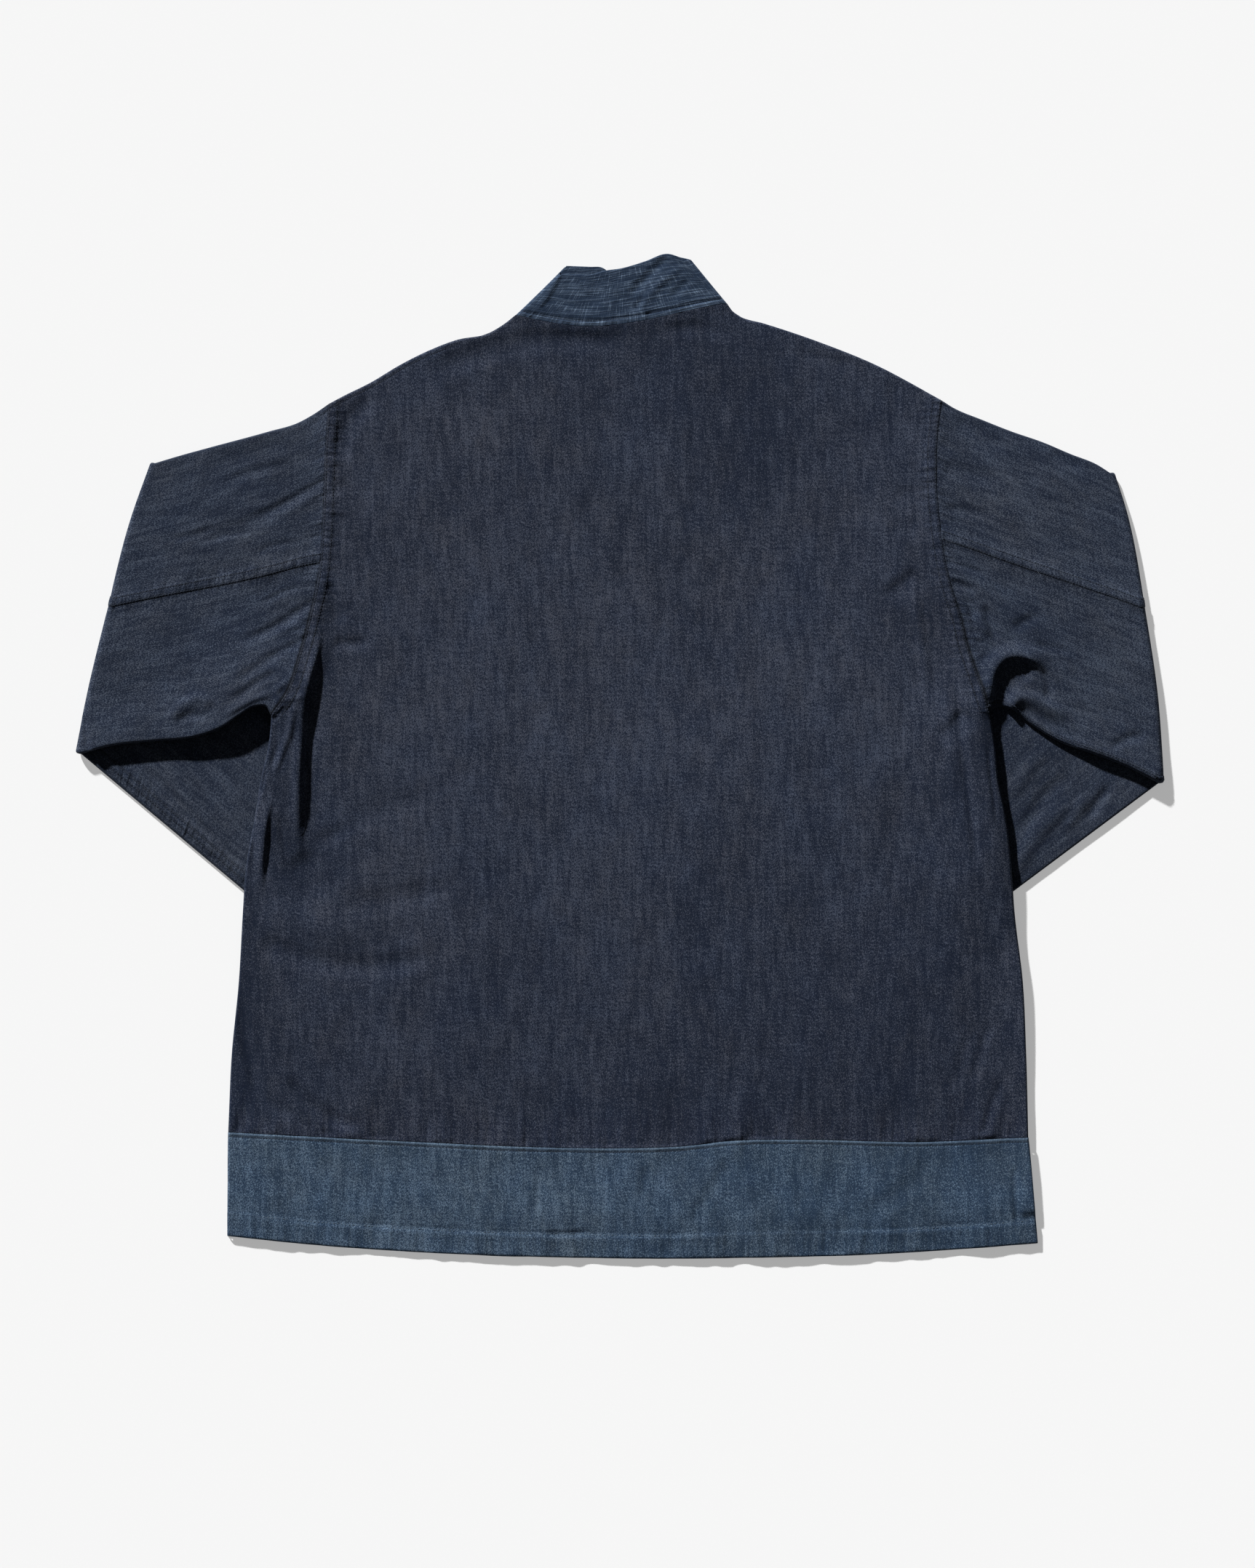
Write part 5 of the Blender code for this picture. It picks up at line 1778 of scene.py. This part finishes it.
# %% A group for the slub cloth
def lines_above(tree, mask, low, high):
    """Keep what lies above a level of a noise, as lines."""
    return step(tree, "ShaderNodeMapRange", fed={0: mask, 1: low, 2: high, 3: 0.0, 4: 1.0})


slub, takes, gives = cloth_group("slub_weave")
thread = takes["Thread"]
weft_slubs = lines_above(slub, noise(slub, thread, 30.0, 1.15, 21), 0.47, 0.62)
fine_weft = lines_above(slub, noise(slub, thread, 10.0, 0.6, 22), 0.48, 0.68)
warp_slubs = lines_above(slub, noise(slub, thread, 1.0, 13.0, 23), 0.56, 0.68)
fine_warp = lines_above(slub, noise(slub, thread, 0.6, 4.0, 26), 0.55, 0.7)
yarn_grain = noise(slub, thread, 0.8, 0.8, 24, 2.0)
slub_patches = noise(slub, thread, 9.0, 7.0, 25, 2.0)
finish_cloth(
    slub, takes, gives,
    dye=[
        (weft_slubs, 0.3), (fine_weft, 0.2), (warp_slubs, 0.34), (fine_warp, 0.18),
        (yarn_grain, 0.5), (slub_patches, 0.3),
    ],
    start=0.6,
    relief=[(weft_slubs, 0.12), (warp_slubs, 0.12), (yarn_grain, 0.16)],
)

# %% [markdown]
# ## Four cloths
#
# The body and the sleeves are the same navy denim, the sleeves a shade lighter. The bands are
# chambray, and the collar is slub indigo. Cotton has a broad, weak sheen: high roughness, little
# specular, and a touch of fuzz. The dyes were matched in linear values under this lamp.

# %% Cloth materials
Cloth = namedtuple("Cloth", "name group dyed pale")
CLOTHS = {
    "denim": Cloth(
        "navy_denim", twill, (0.0036, 0.0069, 0.0170), (0.0448, 0.0525, 0.0750),
    ),
    "sleeve_denim": Cloth(
        "navy_sleeve_denim", twill, (0.0041, 0.0077, 0.0184), (0.0495, 0.0605, 0.0840),
    ),
    "slub_indigo": Cloth(
        "indigo_slub", slub, (0.0066, 0.0150, 0.0330), (0.1350, 0.1850, 0.2600),
    ),
    "chambray": Cloth(
        "band_chambray", twill, (0.0115, 0.0242, 0.0465), (0.0850, 0.1240, 0.1740),
    ),
}
COTTON = {
    "Roughness": 0.88, "Specular IOR Level": 0.12, "Sheen Weight": 0.04,
    "Sheen Roughness": 0.6, "Sheen Tint": (0.45, 0.58, 0.85, 1.0),
}


def cloth_material(cloth):
    """A cotton material from one of the groups."""
    material, tree, shader = new_material(cloth.name, COTTON)
    weave = tree.nodes.new("ShaderNodeGroup")
    weave.node_tree = cloth.group
    weave.inputs["Dyed"].default_value = (*cloth.dyed, 1.0)
    weave.inputs["Pale"].default_value = (*cloth.pale, 1.0)
    tree.links.new(step(tree, "ShaderNodeUVMap", {"uv_map": "thread"}), weave.inputs["Thread"])
    for label in MARKS:
        mark = step(tree, "ShaderNodeAttribute", {"attribute_name": label}, out="Fac")
        tree.links.new(mark, weave.inputs[mark_input(label)])
    tree.links.new(weave.outputs["Color"], shader["Base Color"])
    bump = {"Strength": 1.0, "Distance": MM, "Height": weave.outputs["Height"]}
    tree.links.new(step(tree, "ShaderNodeBump", fed=bump), shader["Normal"])
    return material


made = {slot: cloth_material(cloth) for slot, cloth in CLOTHS.items()}
for piece in (back, *fronts):
    piece.data.materials.append(made["denim"])
for piece in sleeves.values():
    piece.data.materials.append(made["sleeve_denim"])
for piece in (band, *front_bands):
    piece.data.materials.append(made["chambray"])
collar.data.materials.append(made["slub_indigo"])
print("materials:", ", ".join(material.name for material in made.values()))

# %% [markdown]
# ## The table
#
# A sheet of white paper that glows a little from below, as on a light box. The glow is painted
# light: it keeps the shadows on the paper pale while the hollows of the cloth stay dark.

# %% Paper with a painted glow
TABLE_HALF = 20.0
TABLE_DROP = -0.0002
GLOWING_PAPER = {
    "Roughness": 0.95, "Specular IOR Level": 0.0,
    "Emission Color": (1.0, 1.0, 1.0, 1.0), "Emission Strength": 0.352,
}
PAPER_TONES = [(0.478, 0.478, 0.480), (0.498, 0.498, 0.496)]
FIBRE_SCALE = 900.0

paper, tree, shader = new_material("glowing_paper", GLOWING_PAPER)
place = step(tree, "ShaderNodeTexCoord", out="Object")
fibres = step(tree, "ShaderNodeTexNoise", fed={
    "Vector": place, "Scale": FIBRE_SCALE, "Detail": 2.0,
})
tree.links.new(two_tone(tree, fibres, PAPER_TONES), shader["Base Color"])
table_mesh = bpy.data.meshes.new("table_top")
table_mesh.from_pydata(
    [(x * TABLE_HALF, y * TABLE_HALF, TABLE_DROP) for x, y in ((-1, -1), (1, -1), (1, 1), (-1, 1))],
    [], [(0, 1, 2, 3)],
)
table_mesh.materials.append(paper)
table = add_object("table_top", table_mesh)
print("the table is", 2 * TABLE_HALF, "m wide")

# %% [markdown]
# ## Tying the cloths to the jacket
#
# Every piece rides on the jacket's one body, and each panel takes the place of its solid,
# which is hidden. A table lists each panel with its cloth, the flat size and area it was cut to,
# and what it rests on, and each run of stitches with the cloth that it holds; nothing in the
# script reads these values.

# %% Tie the cloths to the jacket
Sheet = namedtuple("Sheet", "piece node slot width length area rests_on")
SHEETS = [
    Sheet(back, "back", "denim", 0.67, 0.72, 0.40, ["front_left", "front_right"]),
    Sheet(fronts[0], "front_left", "denim", 0.34, 0.72, 0.20, ["sleeve_left_under"]),
    Sheet(fronts[1], "front_right", "denim", 0.35, 0.72, 0.20, ["sleeve_right_upper"]),
    Sheet(band, "hem_band_back", "chambray", 0.67, 0.11, 0.07, ["hem_band_front_left"]),
    Sheet(front_bands[0], "hem_band_front_left", "chambray", 0.34, 0.11, 0.035, ["table_top"]),
    Sheet(front_bands[1], "hem_band_front_right", "chambray", 0.34, 0.11, 0.035, ["table_top"]),
    Sheet(collar, "collar", "slub_indigo", 0.37, 0.05, 0.0165, ["table_top"]),
]
for name, width, area in (
    ("sleeve_left_upper", 0.38, 0.20), ("sleeve_left_under", 0.15, 0.075),
    ("sleeve_right_upper", 0.38, 0.20), ("sleeve_right_under", 0.15, 0.075),
):
    SHEETS.append(Sheet(sleeves[name], name, "sleeve_denim", width, 0.60, area, ["table_top"]))
STITCH_SLOTS = {
    body_stitches: "denim", sleeve_stitches: "sleeve_denim", band_stitches: "chambray",
    hem_stitches: "chambray", collar_stitches: "slub_indigo",
}
for stitches, slot in STITCH_SLOTS.items():
    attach(stitches, "root")
for sheet in SHEETS:
    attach(sheet.piece, "root")
    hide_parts(sheet.node)
print(len(SHEETS), "sheets and", len(STITCH_SLOTS), "pieces of stitches ride on the jacket")
